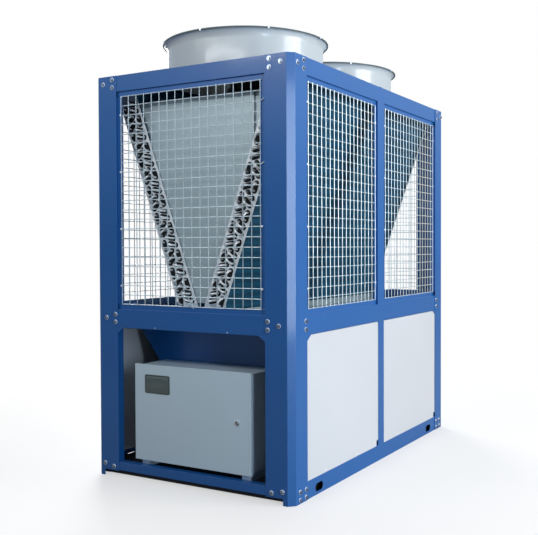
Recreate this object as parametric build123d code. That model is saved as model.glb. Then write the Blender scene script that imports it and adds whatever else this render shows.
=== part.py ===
from build123d import *
import os
from math import atan2, cos, degrees, radians, sqrt, tan

# Modular air source heat pump: a folded-steel cabinet with two axial fans on top, a V of two finned
# coils behind wire guards in its upper half, and a panelled machine bay with an electrical box below.
# Millimetres. X runs to the right, Y to the rear, Z up. The origin is the centre of the footprint.

# Cabinet
CABINET_WIDTH = 1210.0
CABINET_LENGTH = 2075.0
CABINET_HEIGHT = 2120.0
FRAME_SHEET = 3.0
BEAM_FLANGE = 45.0
BEAM_END_GAP = 4.0
FIT = 0.3

# Corner posts, folded with a chamfered outer corner
POST_CHAMFER = 30.0
POST_FRONT_FLANGE = 150.0
POST_SIDE_FLANGE = 144.0
POST_LIP = 45.0
FOOT_WIDTH = 55.0
FOOT_RISE = 32.0
GUSSET_WIDTH = 40.0
GUSSET_DROP = 28.0

# Beams and rails
TOP_BEAM_HEIGHT = 84.0
MID_BEAM_BOTTOM = 794.0
MID_BEAM_HEIGHT = 97.0
BOTTOM_BEAM_BOTTOM = 36.0
BOTTOM_BEAM_HEIGHT = 45.0
BASE_RAIL_HEIGHT = 88.0
UPPER_MID_POST_WIDTH = 90.0
LOWER_MID_POST_WIDTH = 80.0
NOTCH_GAP = 1.0

# Lifting slots through both base rails
SLOT_LENGTH = 82.0
SLOT_HEIGHT = 42.0
SLOT_CENTRE_HEIGHT = 35.0
SLOT_SPACING = 1535.0

# Recessed ledge round each upper opening, and the wire guard that lies on it
LEDGE_DEPTH = 14.0
LEDGE_WIDTH = 30.0
GUARD_MARGIN = 25.0
WIRE = 4.0
WIRE_LAYER_GAP = 0.2
GUARD_COLUMNS = 17
GUARD_ROWS = 22

# Lower panels, folded as shallow trays
PANEL_SHEET = 2.0
PANEL_DEPTH = 20.0
PANEL_SETBACK = 4.0
PANEL_GAP = 2.0
PANEL_NOTCH_WIDTH = 24.0
PANEL_NOTCH_HEIGHT = 32.0

# Top deck and fans
DECK_SHEET = 3.0
DECK_STRIP_WIDTH = 40.0
DECK_STRIP_SHEET = 2.0
FAN_SPACING = 960.0
SHROUD_INNER_RADIUS = 425.0
SHROUD_SHEET = 2.5
SHROUD_HEIGHT = 202.0
SHROUD_FLANGE = 28.0
LIP_FLARE = 26.5
LIP_HEIGHT = 42.0
FAN_GUARD_BAR = 6.0
FAN_GUARD_RINGS = 4
FAN_GUARD_SPOKES = 8
FAN_GUARD_HUB_RADIUS = 85.0
TIP_GAP = 12.0
HUB_RADIUS = 110.0
HUB_HEIGHT = 80.0
HUB_ROUNDING = 10.0
HUB_DISH_RADIUS = 72.0
HUB_DISH_DEPTH = 6.0
HUB_BASE_ABOVE_DECK = 75.0
BLADE_COUNT = 5
BLADE_THICKNESS = 6.0
BLADE_ROOT_INSET = 22.0
BLADE_ROOT_CHORD = 150.0
BLADE_TIP_CHORD = 330.0
BLADE_ROOT_PITCH = 34.0
BLADE_TIP_PITCH = 15.0
BLADE_CAMBER = 0.06
BLADE_SWEEP = 14.0
MOTOR_RADIUS = 80.0
MOTOR_LENGTH = 170.0
MOTOR_TOP_ABOVE_DECK = 55.0
MOTOR_END_HEIGHT = 22.0
MOTOR_END_ROUNDING = 8.0
MOTOR_FIN_COUNT = 24
MOTOR_FIN_DEPTH = 9.0
MOTOR_FIN_THICKNESS = 4.0
SHAFT_RADIUS = 14.0
ARM_COUNT = 4
ARM_WIDTH = 40.0
ARM_HEIGHT = 25.0
ARM_BASE_ABOVE_DECK = 22.0

# V of coils
COIL_THICKNESS = 115.0
COIL_END_SETBACK = 120.0
COIL_RISE = 4.0
COIL_INNER_HALF_GAP = 18.0
COIL_SIDE_GAP = 56.0
COIL_PLATE_SHEET = 3.0
COIL_PLATE_MARGIN = 5.0
COIL_RAIL_WIDTH = 30.0
COIL_RAIL_HEIGHT = 57.0
END_SHEET_INSET = 8.0
END_SHEET_RISE = 35.0
END_SHEET_DROP = 70.0
END_SHEET_THICKNESS = 2.0
END_SHEET_FLANGE = 25.0
END_SHEET_WING = 90.0
END_SHEET_JOGGLE = 12.0
END_SHEET_HEM = 14.0

# Drain deck between the storeys
DRAIN_DECK_DROP = 29.0
DRAIN_DECK_SHEET = 3.0
SILL_MARGIN = 12.0
INNER_GAP = 2.0

# Machine bay
BASE_PAN_TOP = 66.0
BASE_PAN_SHEET = 3.0
BASE_PAN_SEAT = 6.0
BULKHEAD_SETBACK = 290.0
BULKHEAD_SHEET = 3.0
BULKHEAD_CUT_WIDTH = 270.0
BULKHEAD_CUT_HEIGHT = 360.0

# Electrical box
DOOR_WIDTH = 718.0
DOOR_HEIGHT = 502.0
DOOR_BOTTOM = 106.0
DOOR_SETBACK = 25.0
DOOR_DEPTH = 15.0
DOOR_SHEET = 2.0
DOOR_GAP = 8.0
BOX_DEPTH = 230.0
BOX_SHEET = 3.0
BOX_OVERLAP = 8.0
BOX_RIM = 12.0
HINGE_INSET = 8.0
HINGE_PIN_RADIUS = 3.0
HINGE_BORE_GAP = 0.3
HINGE_BARREL_RADIUS = 5.5
HINGE_BARREL_HEIGHT = 24.0
HINGE_EAR_HEIGHT = 5.0
HINGE_EAR_GAP = 0.5
HINGE_FROM_EDGE = 70.0
HINGE_ARM_WIDTH = 5.0
LOCK_FROM_EDGE = 78.0
LOCK_RADIUS = 13.0
LOCK_STANDS = 6.0
LOCK_SLOT_LENGTH = 15.0
LOCK_SLOT_WIDTH = 3.0
LOCK_SLOT_DEPTH = 3.0
WINDOW_WIDTH = 158.0
WINDOW_HEIGHT = 96.0
WINDOW_CORNER = 8.0
WINDOW_FROM_EDGE = 68.0
WINDOW_FROM_TOP = 52.0
WINDOW_THICKNESS = 4.0
WINDOW_RIM = 8.0
WINDOW_RECESS = 1.2
BOX_FOOT_WIDTH = 40.0

HALF_WIDTH = CABINET_WIDTH / 2
HALF_LENGTH = CABINET_LENGTH / 2
TOP_BEAM_BOTTOM = CABINET_HEIGHT - TOP_BEAM_HEIGHT
MID_BEAM_TOP = MID_BEAM_BOTTOM + MID_BEAM_HEIGHT
BOTTOM_BEAM_TOP = BOTTOM_BEAM_BOTTOM + BOTTOM_BEAM_HEIGHT
COIL_BOTTOM = MID_BEAM_TOP + COIL_RISE
COIL_TOP = CABINET_HEIGHT - DECK_SHEET - COIL_RAIL_HEIGHT
COIL_REACH = HALF_WIDTH - COIL_SIDE_GAP - COIL_THICKNESS - COIL_INNER_HALF_GAP
COIL_LEAN = degrees(atan2(COIL_REACH, COIL_TOP - COIL_BOTTOM))
END_SHEET_SETBACK = COIL_END_SETBACK + END_SHEET_INSET
END_SHEET_BOTTOM = COIL_BOTTOM + END_SHEET_RISE
END_SHEET_TOP = COIL_TOP - END_SHEET_DROP
DRAIN_DECK_TOP = MID_BEAM_TOP - DRAIN_DECK_DROP
DOOR_FRONT = -HALF_LENGTH + DOOR_SETBACK
DOOR_BACK = DOOR_FRONT + DOOR_DEPTH
DOOR_TOP = DOOR_BOTTOM + DOOR_HEIGHT
DOOR_LEFT = -DOOR_WIDTH / 2
DOOR_RIGHT = DOOR_WIDTH / 2
BOX_FRONT = DOOR_BACK + DOOR_GAP
HINGE_X = DOOR_LEFT + HINGE_INSET
HINGE_Y = DOOR_FRONT + HINGE_INSET
HINGE_HEIGHTS = (DOOR_BOTTOM + HINGE_FROM_EDGE, DOOR_TOP - HINGE_FROM_EDGE)

# Each side is drawn with its outer face on local Y = 0 and its depth along +Y, then turned into place
SIDES = {
    "front": Pos(0, -HALF_LENGTH, 0),
    "rear": Pos(0, HALF_LENGTH, 0) * Rot(0, 0, 180),
    "left": Pos(-HALF_WIDTH, 0, 0) * Rot(0, 0, -90),
    "right": Pos(HALF_WIDTH, 0, 0) * Rot(0, 0, 90),
}
SIDE_LENGTHS = {
    "front": CABINET_WIDTH,
    "rear": CABINET_WIDTH,
    "left": CABINET_LENGTH,
    "right": CABINET_LENGTH,
}


def block(x0, x1, y0, y1, z0, z1):
    """A box between two corners."""
    return Pos((x0 + x1) / 2, (y0 + y1) / 2, (z0 + z1) / 2) * Box(x1 - x0, y1 - y0, z1 - z0)


def cylinder(x, y, z0, z1, radius):
    """An upright cylinder between two heights."""
    return Pos(x, y, (z0 + z1) / 2) * Cylinder(radius, z1 - z0)


def mitred(points, distance):
    """The points of a folded line moved sideways by a distance, to the left where it is positive."""
    line = [Vector(*point) for point in points]
    steps = [(b - a).normalized() for a, b in zip(line, line[1:])]
    normals = [Vector(-step.Y, step.X) for step in steps]
    before = [normals[0], *normals]
    after = [*normals, normals[-1]]
    return [p + (m + n) * (distance / (1 + m.dot(n))) for p, m, n in zip(line, before, after)]


def sheet_outline(points, thickness):
    """The section of a sheet folded along points, its thickness to their left, or right if negative."""
    outer = [Vector(*point) for point in points]
    return make_face(Polyline(*outer, *reversed(mitred(points, thickness)), close=True))


def folded_beam(points, length):
    """A beam along X whose folded section is given as (depth, height) points of its outer surface."""
    section = Plane.YZ * sheet_outline(points, FRAME_SHEET)
    return Pos(-length / 2, 0, 0) * extrude(section, length)


def beam_length(side):
    """Front and rear beams pass inside the posts and stop short of the side beams."""
    corner = FRAME_SHEET + BEAM_FLANGE + BEAM_END_GAP
    return SIDE_LENGTHS[side] - 2 * corner


def beam_face_depth():
    """Beams lie face to face against the inside of the post flanges."""
    return FRAME_SHEET


def top_beam(side):
    """A folded beam under the deck, with a ledge hanging from it for the wire guards."""
    face = beam_face_depth()
    top = CABINET_HEIGHT - DECK_SHEET
    points = [
        (BEAM_FLANGE, top),
        (face, top),
        (face, TOP_BEAM_BOTTOM),
        (LEDGE_DEPTH, TOP_BEAM_BOTTOM),
        (LEDGE_DEPTH, TOP_BEAM_BOTTOM - LEDGE_WIDTH),
    ]
    return SIDES[side] * folded_beam(points, beam_length(side))


def mid_beam(side):
    """A folded beam between the storeys, with a ledge rising from it for the wire guards."""
    face = beam_face_depth()
    points = [
        (LEDGE_DEPTH, MID_BEAM_TOP + LEDGE_WIDTH),
        (LEDGE_DEPTH, MID_BEAM_TOP),
        (face, MID_BEAM_TOP),
        (face, MID_BEAM_BOTTOM),
        (BEAM_FLANGE, MID_BEAM_BOTTOM),
    ]
    return SIDES[side] * folded_beam(points, beam_length(side))


def channel(side, bottom, top):
    """A plain channel, its web outwards and its flanges inwards."""
    face = beam_face_depth()
    points = [(BEAM_FLANGE, top), (face, top), (face, bottom), (BEAM_FLANGE, bottom)]
    return folded_beam(points, beam_length(side))


def base_rail(side):
    """A channel on the floor with two rounded lifting slots."""
    rail = channel(side, 0, BASE_RAIL_HEIGHT)
    slot = extrude(Plane.XZ * SlotOverall(SLOT_LENGTH, SLOT_HEIGHT), BEAM_FLANGE, both=True)
    for x in (-SLOT_SPACING / 2, SLOT_SPACING / 2):
        rail -= Pos(x, 0, SLOT_CENTRE_HEIGHT) * slot
    return SIDES[side] * rail


def post_notches(edge, bottom_height):
    """Cuts in a post lip at local X = edge where the beams pass through it."""
    x0 = edge - FRAME_SHEET - NOTCH_GAP
    x1 = edge + NOTCH_GAP
    y1 = POST_LIP + FRAME_SHEET
    top = block(x0, x1, FRAME_SHEET, y1, TOP_BEAM_BOTTOM - LEDGE_WIDTH - NOTCH_GAP, CABINET_HEIGHT)
    mid = block(x0, x1, FRAME_SHEET, y1, MID_BEAM_BOTTOM - NOTCH_GAP, MID_BEAM_TOP + LEDGE_WIDTH + NOTCH_GAP)
    bottom = block(x0, x1, FRAME_SHEET, y1, 0, bottom_height + NOTCH_GAP)
    return top + mid + bottom


def ledge_strip(edge, width):
    """The upright strip beside a post lip on which a wire guard lies, from local X = edge."""
    z0 = MID_BEAM_TOP + LEDGE_WIDTH + NOTCH_GAP
    z1 = TOP_BEAM_BOTTOM - LEDGE_WIDTH - NOTCH_GAP
    x0, x1 = sorted((edge, edge + width))
    return block(x0, x1, LEDGE_DEPTH, LEDGE_DEPTH + FRAME_SHEET, z0, z1)


def gusset(edge):
    """The corner plate under the mid beam, in the plane of the post flange."""
    top = MID_BEAM_BOTTOM
    points = [(edge, top), (edge + GUSSET_WIDTH, top), (edge, top - GUSSET_DROP)]
    return extrude(Plane.XZ * make_face(Polyline(*points, close=True)), -FRAME_SHEET)


def swap_xy(shape):
    """The mirror image about the vertical plane X = Y, which exchanges front and side."""
    return mirror(shape, Plane(origin=(0, 0, 0), z_dir=(1, -1, 0)))


def front_left_post():
    """Drawn with its outer corner on the origin, the front along X and the side along Y."""
    points = [
        (POST_FRONT_FLANGE, POST_LIP),
        (POST_FRONT_FLANGE, 0),
        (POST_CHAMFER, 0),
        (0, POST_CHAMFER),
        (0, POST_SIDE_FLANGE),
        (POST_LIP, POST_SIDE_FLANGE),
    ]
    post = extrude(sheet_outline(points, -FRAME_SHEET), CABINET_HEIGHT)
    post -= post_notches(POST_FRONT_FLANGE, BOTTOM_BEAM_TOP)
    post -= swap_xy(post_notches(POST_SIDE_FLANGE, BASE_RAIL_HEIGHT))
    post -= block(FOOT_WIDTH, CABINET_WIDTH / 2, -NOTCH_GAP, BEAM_FLANGE + FRAME_SHEET, 0, FOOT_RISE)
    post += ledge_strip(POST_FRONT_FLANGE, LEDGE_WIDTH)
    post += swap_xy(ledge_strip(POST_SIDE_FLANGE, LEDGE_WIDTH))
    post += gusset(POST_FRONT_FLANGE)
    post += swap_xy(gusset(POST_SIDE_FLANGE))
    return Pos(-HALF_WIDTH, -HALF_LENGTH, 0) * post


def corner_posts():
    """The four corner posts, mirror images of each other."""
    front_left = front_left_post()
    rear_left = mirror(front_left, Plane.XZ)
    return {
        "corner_post_front_left": front_left,
        "corner_post_front_right": mirror(front_left, Plane.YZ),
        "corner_post_rear_left": rear_left,
        "corner_post_rear_right": mirror(rear_left, Plane.YZ),
    }


def upright_channel(width, z0, z1):
    """A channel upright with its web outwards, centred on local X = 0."""
    face = beam_face_depth()
    half = width / 2
    points = [(half, BEAM_FLANGE), (half, face), (-half, face), (-half, BEAM_FLANGE)]
    return Pos(0, 0, z0) * extrude(sheet_outline(points, -FRAME_SHEET), z1 - z0)


def mid_posts(side):
    """The upper and the lower post at the middle of a side, one above the mid beam and one below."""
    half = UPPER_MID_POST_WIDTH / 2
    upper = upright_channel(UPPER_MID_POST_WIDTH, MID_BEAM_TOP, TOP_BEAM_BOTTOM)
    back = BEAM_FLANGE + FRAME_SHEET
    front = LEDGE_DEPTH - FIT
    upper -= block(-half, half, front, back, MID_BEAM_TOP, MID_BEAM_TOP + LEDGE_WIDTH + NOTCH_GAP)
    upper -= block(-half, half, front, back, TOP_BEAM_BOTTOM - LEDGE_WIDTH - NOTCH_GAP, TOP_BEAM_BOTTOM)
    upper += ledge_strip(half, LEDGE_WIDTH)
    upper += ledge_strip(-half, -LEDGE_WIDTH)
    lower = upright_channel(LOWER_MID_POST_WIDTH, BASE_RAIL_HEIGHT, MID_BEAM_BOTTOM)
    return SIDES[side] * Compound([upper, lower])


def wire_guard(width, height):
    """A welded wire panel centred on the origin in X and Z: uprights in front, cross wires behind."""
    depth = 2 * WIRE + WIRE_LAYER_GAP
    half_w = width / 2
    half_h = height / 2
    frame = block(-half_w, half_w, 0, depth, -half_h, half_h)
    inner_w = half_w - WIRE
    inner_h = half_h - WIRE
    frame -= block(-inner_w, inner_w, 0, depth, -inner_h, inner_h)
    pitch_x = (width - WIRE) / GUARD_COLUMNS
    pitch_z = (height - WIRE) / GUARD_ROWS
    uprights = [
        block(x - WIRE / 2, x + WIRE / 2, 0, WIRE, -half_h + WIRE / 2, half_h - WIRE / 2)
        for x in (pitch_x * (i - GUARD_COLUMNS / 2) for i in range(1, GUARD_COLUMNS))
    ]
    cross_wires = [
        block(-half_w + WIRE / 2, half_w - WIRE / 2, depth - WIRE, depth, z - WIRE / 2, z + WIRE / 2)
        for z in (pitch_z * (i - GUARD_ROWS / 2) for i in range(1, GUARD_ROWS))
    ]
    return frame.fuse(*uprights, *cross_wires).clean()


def guard_in_opening(side, x0, x1):
    """A wire guard on the ledge of the upper opening between local X = x0 and x1."""
    width = x1 - x0 - 2 * GUARD_MARGIN
    height = TOP_BEAM_BOTTOM - MID_BEAM_TOP - 2 * GUARD_MARGIN
    depth = LEDGE_DEPTH - 2 * WIRE - WIRE_LAYER_GAP
    centre = ((x0 + x1) / 2, depth, (TOP_BEAM_BOTTOM + MID_BEAM_TOP) / 2)
    return SIDES[side] * Pos(*centre) * wire_guard(width, height)


def tray_panel(side, x0, x1, z0):
    """A lower panel with its edges folded back, standing at height z0 between local X = x0 and x1."""
    face = PANEL_SETBACK
    back = face + PANEL_DEPTH
    z1 = MID_BEAM_BOTTOM - PANEL_GAP
    panel = block(x0 + PANEL_GAP, x1 - PANEL_GAP, face, back, z0, z1)
    inset = PANEL_GAP + PANEL_SHEET
    panel -= block(x0 + inset, x1 - inset, face + PANEL_SHEET, back, z0 + PANEL_SHEET, z1 - PANEL_SHEET)
    return SIDES[side] * panel


def notched_panel(side, x0, x1, z0):
    """A side panel with a notch in its lower rear corner, by which it is lifted out."""
    low, high = (x1 - PANEL_NOTCH_WIDTH, x1) if side == "right" else (x0, x0 + PANEL_NOTCH_WIDTH)
    notch = block(low, high, 0, PANEL_SETBACK + PANEL_DEPTH, z0, z0 + PANEL_NOTCH_HEIGHT)
    return tray_panel(side, x0, x1, z0) - SIDES[side] * notch


def side_bays(side, mid_width):
    """The two openings of a long side, as pairs of local X, each named for the end it is nearer to."""
    outer = HALF_LENGTH - POST_SIDE_FLANGE
    inner = mid_width / 2
    near = (-outer, -inner) if side == "right" else (inner, outer)
    far = (inner, outer) if side == "right" else (-outer, -inner)
    return {"front": near, "rear": far}


def fan_centre(name):
    """Distance along Y of a fan's axis."""
    return -FAN_SPACING / 2 if name == "front" else FAN_SPACING / 2


def corner_leg(depth, gap):
    """Leg of the chamfer that keeps a sheet's corner clear of the folded corner of a post."""
    return POST_CHAMFER + FRAME_SHEET * sqrt(2) + gap - 2 * depth


def top_deck():
    """The roof sheet, let in between the posts, with a hole for each fan and a strip between them."""
    x = HALF_WIDTH - FRAME_SHEET - FIT
    y = HALF_LENGTH - FRAME_SHEET - FIT
    z0 = CABINET_HEIGHT - DECK_SHEET
    deck = block(-x, x, -y, y, z0, CABINET_HEIGHT)
    deck = chamfer(deck.edges().filter_by(Axis.Z), corner_leg(FRAME_SHEET + FIT, FIT))
    for name in ("front", "rear"):
        deck -= cylinder(0, fan_centre(name), z0, CABINET_HEIGHT, SHROUD_INNER_RADIUS)
    half = DECK_STRIP_WIDTH / 2
    deck += block(-x, x, -half, half, CABINET_HEIGHT, CABINET_HEIGHT + DECK_STRIP_SHEET)
    return deck


def fan_shroud(name):
    """A spun ring: a flat foot on the deck, a straight barrel and a flared lip."""
    r = SHROUD_INNER_RADIUS
    t = SHROUD_SHEET
    z0 = CABINET_HEIGHT
    z2 = z0 + SHROUD_HEIGHT
    z1 = z2 - LIP_HEIGHT
    outer = r + t
    lip = outer + LIP_FLARE
    inner_line = Line((r, z0), (r, z1))
    inner_flare = EllipticalCenterArc((lip, z1), lip - r, LIP_HEIGHT, start_angle=90, arc_size=90)
    lip_line = Line((lip, z2), (lip, z2 - t))
    outer_flare = EllipticalCenterArc((lip, z1), lip - outer, LIP_HEIGHT - t, start_angle=90, arc_size=90)
    foot_edge = r + SHROUD_FLANGE
    foot = Polyline((outer, z1), (outer, z0 + t), (foot_edge, z0 + t), (foot_edge, z0), (r, z0))
    section = make_face([inner_line, inner_flare, lip_line, outer_flare, foot])
    shroud = revolve(Plane.XZ * section, Axis.Z)
    return Pos(0, fan_centre(name), 0) * shroud


def ring(inner, outer, z0, z1):
    """A flat ring between two heights."""
    return cylinder(0, 0, z0, z1, outer) - cylinder(0, 0, z0, z1, inner)


def fan_guard(name):
    """Concentric bars on spokes, lying on the shroud lip."""
    bar = FAN_GUARD_BAR
    z0 = CABINET_HEIGHT + SHROUD_HEIGHT
    rim = SHROUD_INNER_RADIUS + SHROUD_SHEET + LIP_FLARE
    step = (rim - bar - FAN_GUARD_HUB_RADIUS) / (FAN_GUARD_RINGS + 1)
    radii = [FAN_GUARD_HUB_RADIUS + step * i for i in range(FAN_GUARD_RINGS + 2)]
    guard = ring(radii[0], radii[0] + bar, z0, z0 + bar)
    for radius in radii[1:]:
        guard += ring(radius, radius + bar, z0, z0 + bar)
    for i in range(FAN_GUARD_SPOKES):
        spoke = block(radii[0] + bar / 2, rim - bar / 2, -bar / 2, bar / 2, z0, z0 + bar)
        guard += Rot(0, 0, 360 / FAN_GUARD_SPOKES * (i + 0.5)) * spoke
    return Pos(0, fan_centre(name), 0) * guard


def blade_section(radius, chord, pitch):
    """A cambered blade section of constant thickness on the vertical plane at one radius."""
    rise = chord * BLADE_CAMBER
    half = BLADE_THICKNESS / 2
    upper = ThreePointArc((-chord / 2, half), (0, rise + half), (chord / 2, half))
    lower = ThreePointArc((-chord / 2, -half), (0, rise - half), (chord / 2, -half))
    ends = [Line((s * chord / 2, -half), (s * chord / 2, half)) for s in (-1, 1)]
    face = make_face([upper, lower, *ends])
    return Plane(origin=(radius, 0, 0), x_dir=(0, 1, 0), z_dir=(1, 0, 0)) * Rot(0, 0, pitch) * face


def fan_impeller(name):
    """A dished hub with twisted, forward-swept blades."""
    z0 = CABINET_HEIGHT + HUB_BASE_ABOVE_DECK
    tip = SHROUD_INNER_RADIUS - TIP_GAP
    root = HUB_RADIUS - BLADE_ROOT_INSET
    z1 = z0 + HUB_HEIGHT
    hub = cylinder(0, 0, z0, z1, HUB_RADIUS)
    hub = fillet(hub.edges().sort_by(Axis.Z)[-1], HUB_ROUNDING)
    hub -= cylinder(0, 0, z1 - HUB_DISH_DEPTH, z1, HUB_DISH_RADIUS)
    hub -= cylinder(0, 0, z0, z0 + HUB_HEIGHT / 2, SHAFT_RADIUS + FIT)
    sections = []
    for part in (0.0, 0.5, 1.0):
        radius = root + (tip - root) * part
        chord = BLADE_ROOT_CHORD + (BLADE_TIP_CHORD - BLADE_ROOT_CHORD) * part
        pitch = BLADE_ROOT_PITCH + (BLADE_TIP_PITCH - BLADE_ROOT_PITCH) * part
        sections.append(Rot(0, 0, BLADE_SWEEP * part * part) * blade_section(radius, chord, pitch))
    middle = z0 + HUB_HEIGHT / 2
    blade = Pos(0, 0, middle) * loft(sections)
    blade &= cylinder(0, 0, middle - BLADE_TIP_CHORD, middle + BLADE_TIP_CHORD, tip)
    impeller = hub
    for i in range(BLADE_COUNT):
        impeller += Rot(0, 0, 360 / BLADE_COUNT * i) * blade
    return Pos(0, fan_centre(name), 0) * impeller


def motor_case(z0, z1):
    """A round case with a rounded bell at each end and cooling fins between them."""
    core = MOTOR_RADIUS - MOTOR_FIN_DEPTH
    low = z0 + MOTOR_END_HEIGHT
    high = z1 - MOTOR_END_HEIGHT
    case = cylinder(0, 0, low, high, core)
    for bottom, top, outer_end in ((z0, low, 0), (high, z1, -1)):
        bell = cylinder(0, 0, bottom, top, MOTOR_RADIUS)
        case += fillet(bell.edges().filter_by(GeomType.CIRCLE).sort_by(Axis.Z)[outer_end], MOTOR_END_ROUNDING)
    half = MOTOR_FIN_THICKNESS / 2
    reach = sqrt(MOTOR_RADIUS ** 2 - half ** 2)
    for i in range(MOTOR_FIN_COUNT):
        fin = block(core - MOTOR_FIN_THICKNESS, reach, -half, half, low, high)
        case += Rot(0, 0, 360 / MOTOR_FIN_COUNT * i) * fin
    return case


def fan_motor(name):
    """The motor in the throat of the shroud, carried on radial arms that end at its wall."""
    z1 = CABINET_HEIGHT + MOTOR_TOP_ABOVE_DECK
    z0 = z1 - MOTOR_LENGTH
    motor = motor_case(z0, z1)
    shaft_top = CABINET_HEIGHT + HUB_BASE_ABOVE_DECK + HUB_HEIGHT / 2 - FIT
    motor += cylinder(0, 0, z1, shaft_top, SHAFT_RADIUS)
    base = CABINET_HEIGHT + ARM_BASE_ABOVE_DECK
    half = ARM_WIDTH / 2
    reach = sqrt((SHROUD_INNER_RADIUS - FIT) ** 2 - half ** 2)
    for i in range(ARM_COUNT):
        arm = block(MOTOR_RADIUS / 2, reach, -half, half, base, base + ARM_HEIGHT)
        motor += Rot(0, 0, 360 / ARM_COUNT * (i + 0.5)) * arm
    return Pos(0, fan_centre(name), 0) * motor


def coil_inner_x(z):
    """Distance of a coil's inner face from the centre at one height."""
    return COIL_INNER_HALF_GAP + (z - COIL_BOTTOM) * tan(radians(COIL_LEAN))


def leaning_slab(margin, y0, y1):
    """The right-hand coil's section, widened by a margin, between two places along Y."""
    inner_low = coil_inner_x(COIL_BOTTOM) - margin
    inner_high = coil_inner_x(COIL_TOP) - margin
    width = COIL_THICKNESS + 2 * margin
    points = [
        (inner_low, COIL_BOTTOM),
        (inner_low + width, COIL_BOTTOM),
        (inner_high + width, COIL_TOP),
        (inner_high, COIL_TOP),
    ]
    section = Plane.XZ * make_face(Polyline(*points, close=True))
    return Pos(0, y0, 0) * extrude(section, y0 - y1)


def right_coil():
    """A finned block between two end plates, with a rail on top that meets the deck."""
    y = HALF_LENGTH - COIL_END_SETBACK
    coil = leaning_slab(0, -y, y)
    coil += leaning_slab(COIL_PLATE_MARGIN, -y, -y + COIL_PLATE_SHEET)
    coil += leaning_slab(COIL_PLATE_MARGIN, y - COIL_PLATE_SHEET, y)
    rail_x = coil_inner_x(COIL_TOP)
    rail_top = CABINET_HEIGHT - DECK_SHEET
    coil += block(rail_x, rail_x + COIL_RAIL_WIDTH, -y, y, COIL_TOP, rail_top)
    return coil


def end_sheet_fold():
    """Points of an end sheet seen from above: a middle panel that stands proud of a wing on each side."""
    half = coil_inner_x(END_SHEET_TOP) - END_SHEET_WING
    back = END_SHEET_JOGGLE
    return [(-HALF_WIDTH, back), (-half, back), (-half, 0), (half, 0), (half, back), (HALF_WIDTH, back)]


def coil_end_sheet(side):
    """The folded sheet that closes an end of the V, with a hem on top and flanges along the coil faces."""
    gap = FIT / cos(radians(COIL_LEAN))
    low = coil_inner_x(END_SHEET_BOTTOM) - gap
    high = coil_inner_x(END_SHEET_TOP) - gap
    t = END_SHEET_THICKNESS
    fold = end_sheet_fold()
    bottom = END_SHEET_BOTTOM
    top = END_SHEET_TOP
    height = top - bottom
    outline = make_face(Polyline((-low, bottom), (low, bottom), (high, top), (-high, top), close=True))
    between_coils = Pos(0, -t, 0) * extrude(Plane.XZ * outline, -t - END_SHEET_FLANGE)
    sheet = Pos(0, 0, bottom) * extrude(sheet_outline(fold, t), height)
    sheet += Pos(0, 0, top - END_SHEET_HEM) * extrude(sheet_outline(fold, -t), END_SHEET_HEM)
    sheet &= between_coils
    behind = Pos(0, 0, bottom) * extrude(sheet_outline(fold, END_SHEET_FLANGE), height)
    slope_t = t / cos(radians(COIL_LEAN))
    for s in (-1, 1):
        flange = [
            (s * low, bottom),
            (s * high, top),
            (s * (high - slope_t), top),
            (s * (low - slope_t), bottom),
        ]
        sheet += extrude(Plane.XZ * make_face(Polyline(*flange, close=True)), -END_SHEET_FLANGE) & behind
    return SIDES[side] * Pos(0, END_SHEET_SETBACK, 0) * sheet


def drain_deck():
    """A tray turned upside down on the mid beam flanges, with a raised sill under the coils."""
    depth = 2 * FRAME_SHEET + INNER_GAP
    x = HALF_WIDTH - depth
    y = HALF_LENGTH - depth
    z0 = MID_BEAM_BOTTOM + FRAME_SHEET
    z1 = DRAIN_DECK_TOP
    t = DRAIN_DECK_SHEET
    leg = corner_leg(depth, NOTCH_GAP)
    deck = block(-x, x, -y, y, z0, z1)
    deck = chamfer(deck.edges().filter_by(Axis.Z), leg)
    hollow = block(-x + t, x - t, -y + t, y - t, z0, z1 - t)
    deck -= chamfer(hollow.edges().filter_by(Axis.Z), leg)
    sill_x = COIL_INNER_HALF_GAP + COIL_THICKNESS + SILL_MARGIN
    sill_y = HALF_LENGTH - COIL_END_SETBACK + SILL_MARGIN
    deck += block(-sill_x, sill_x, -sill_y, sill_y, z1, COIL_BOTTOM)
    return deck


def base_pan():
    """The floor of the machine bay: a sheet whose edges fold down onto the base rails' lower flanges."""
    x = HALF_WIDTH - BEAM_FLANGE + BASE_PAN_SEAT
    y = HALF_LENGTH - BEAM_FLANGE - FRAME_SHEET
    z0 = FRAME_SHEET
    t = BASE_PAN_SHEET
    return block(-x, x, -y, y, z0, BASE_PAN_TOP) - block(-x + t, x - t, -y + t, y - t, z0, BASE_PAN_TOP - t)


def front_bulkhead():
    """The plate behind the electrical box, its lower corners cut off at a slant."""
    x = HALF_WIDTH - BEAM_FLANGE - INNER_GAP
    z0 = BASE_PAN_TOP
    z1 = MID_BEAM_BOTTOM
    knee_z = z1 - BULKHEAD_CUT_HEIGHT
    knee_x = x - BULKHEAD_CUT_WIDTH
    points = [(-x, z1), (x, z1), (knee_x, knee_z), (knee_x, z0), (-knee_x, z0), (-knee_x, knee_z)]
    plate = extrude(Plane.XZ * make_face(Polyline(*points, close=True)), -BULKHEAD_SHEET)
    return SIDES["front"] * Pos(0, BULKHEAD_SETBACK, 0) * plate


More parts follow.
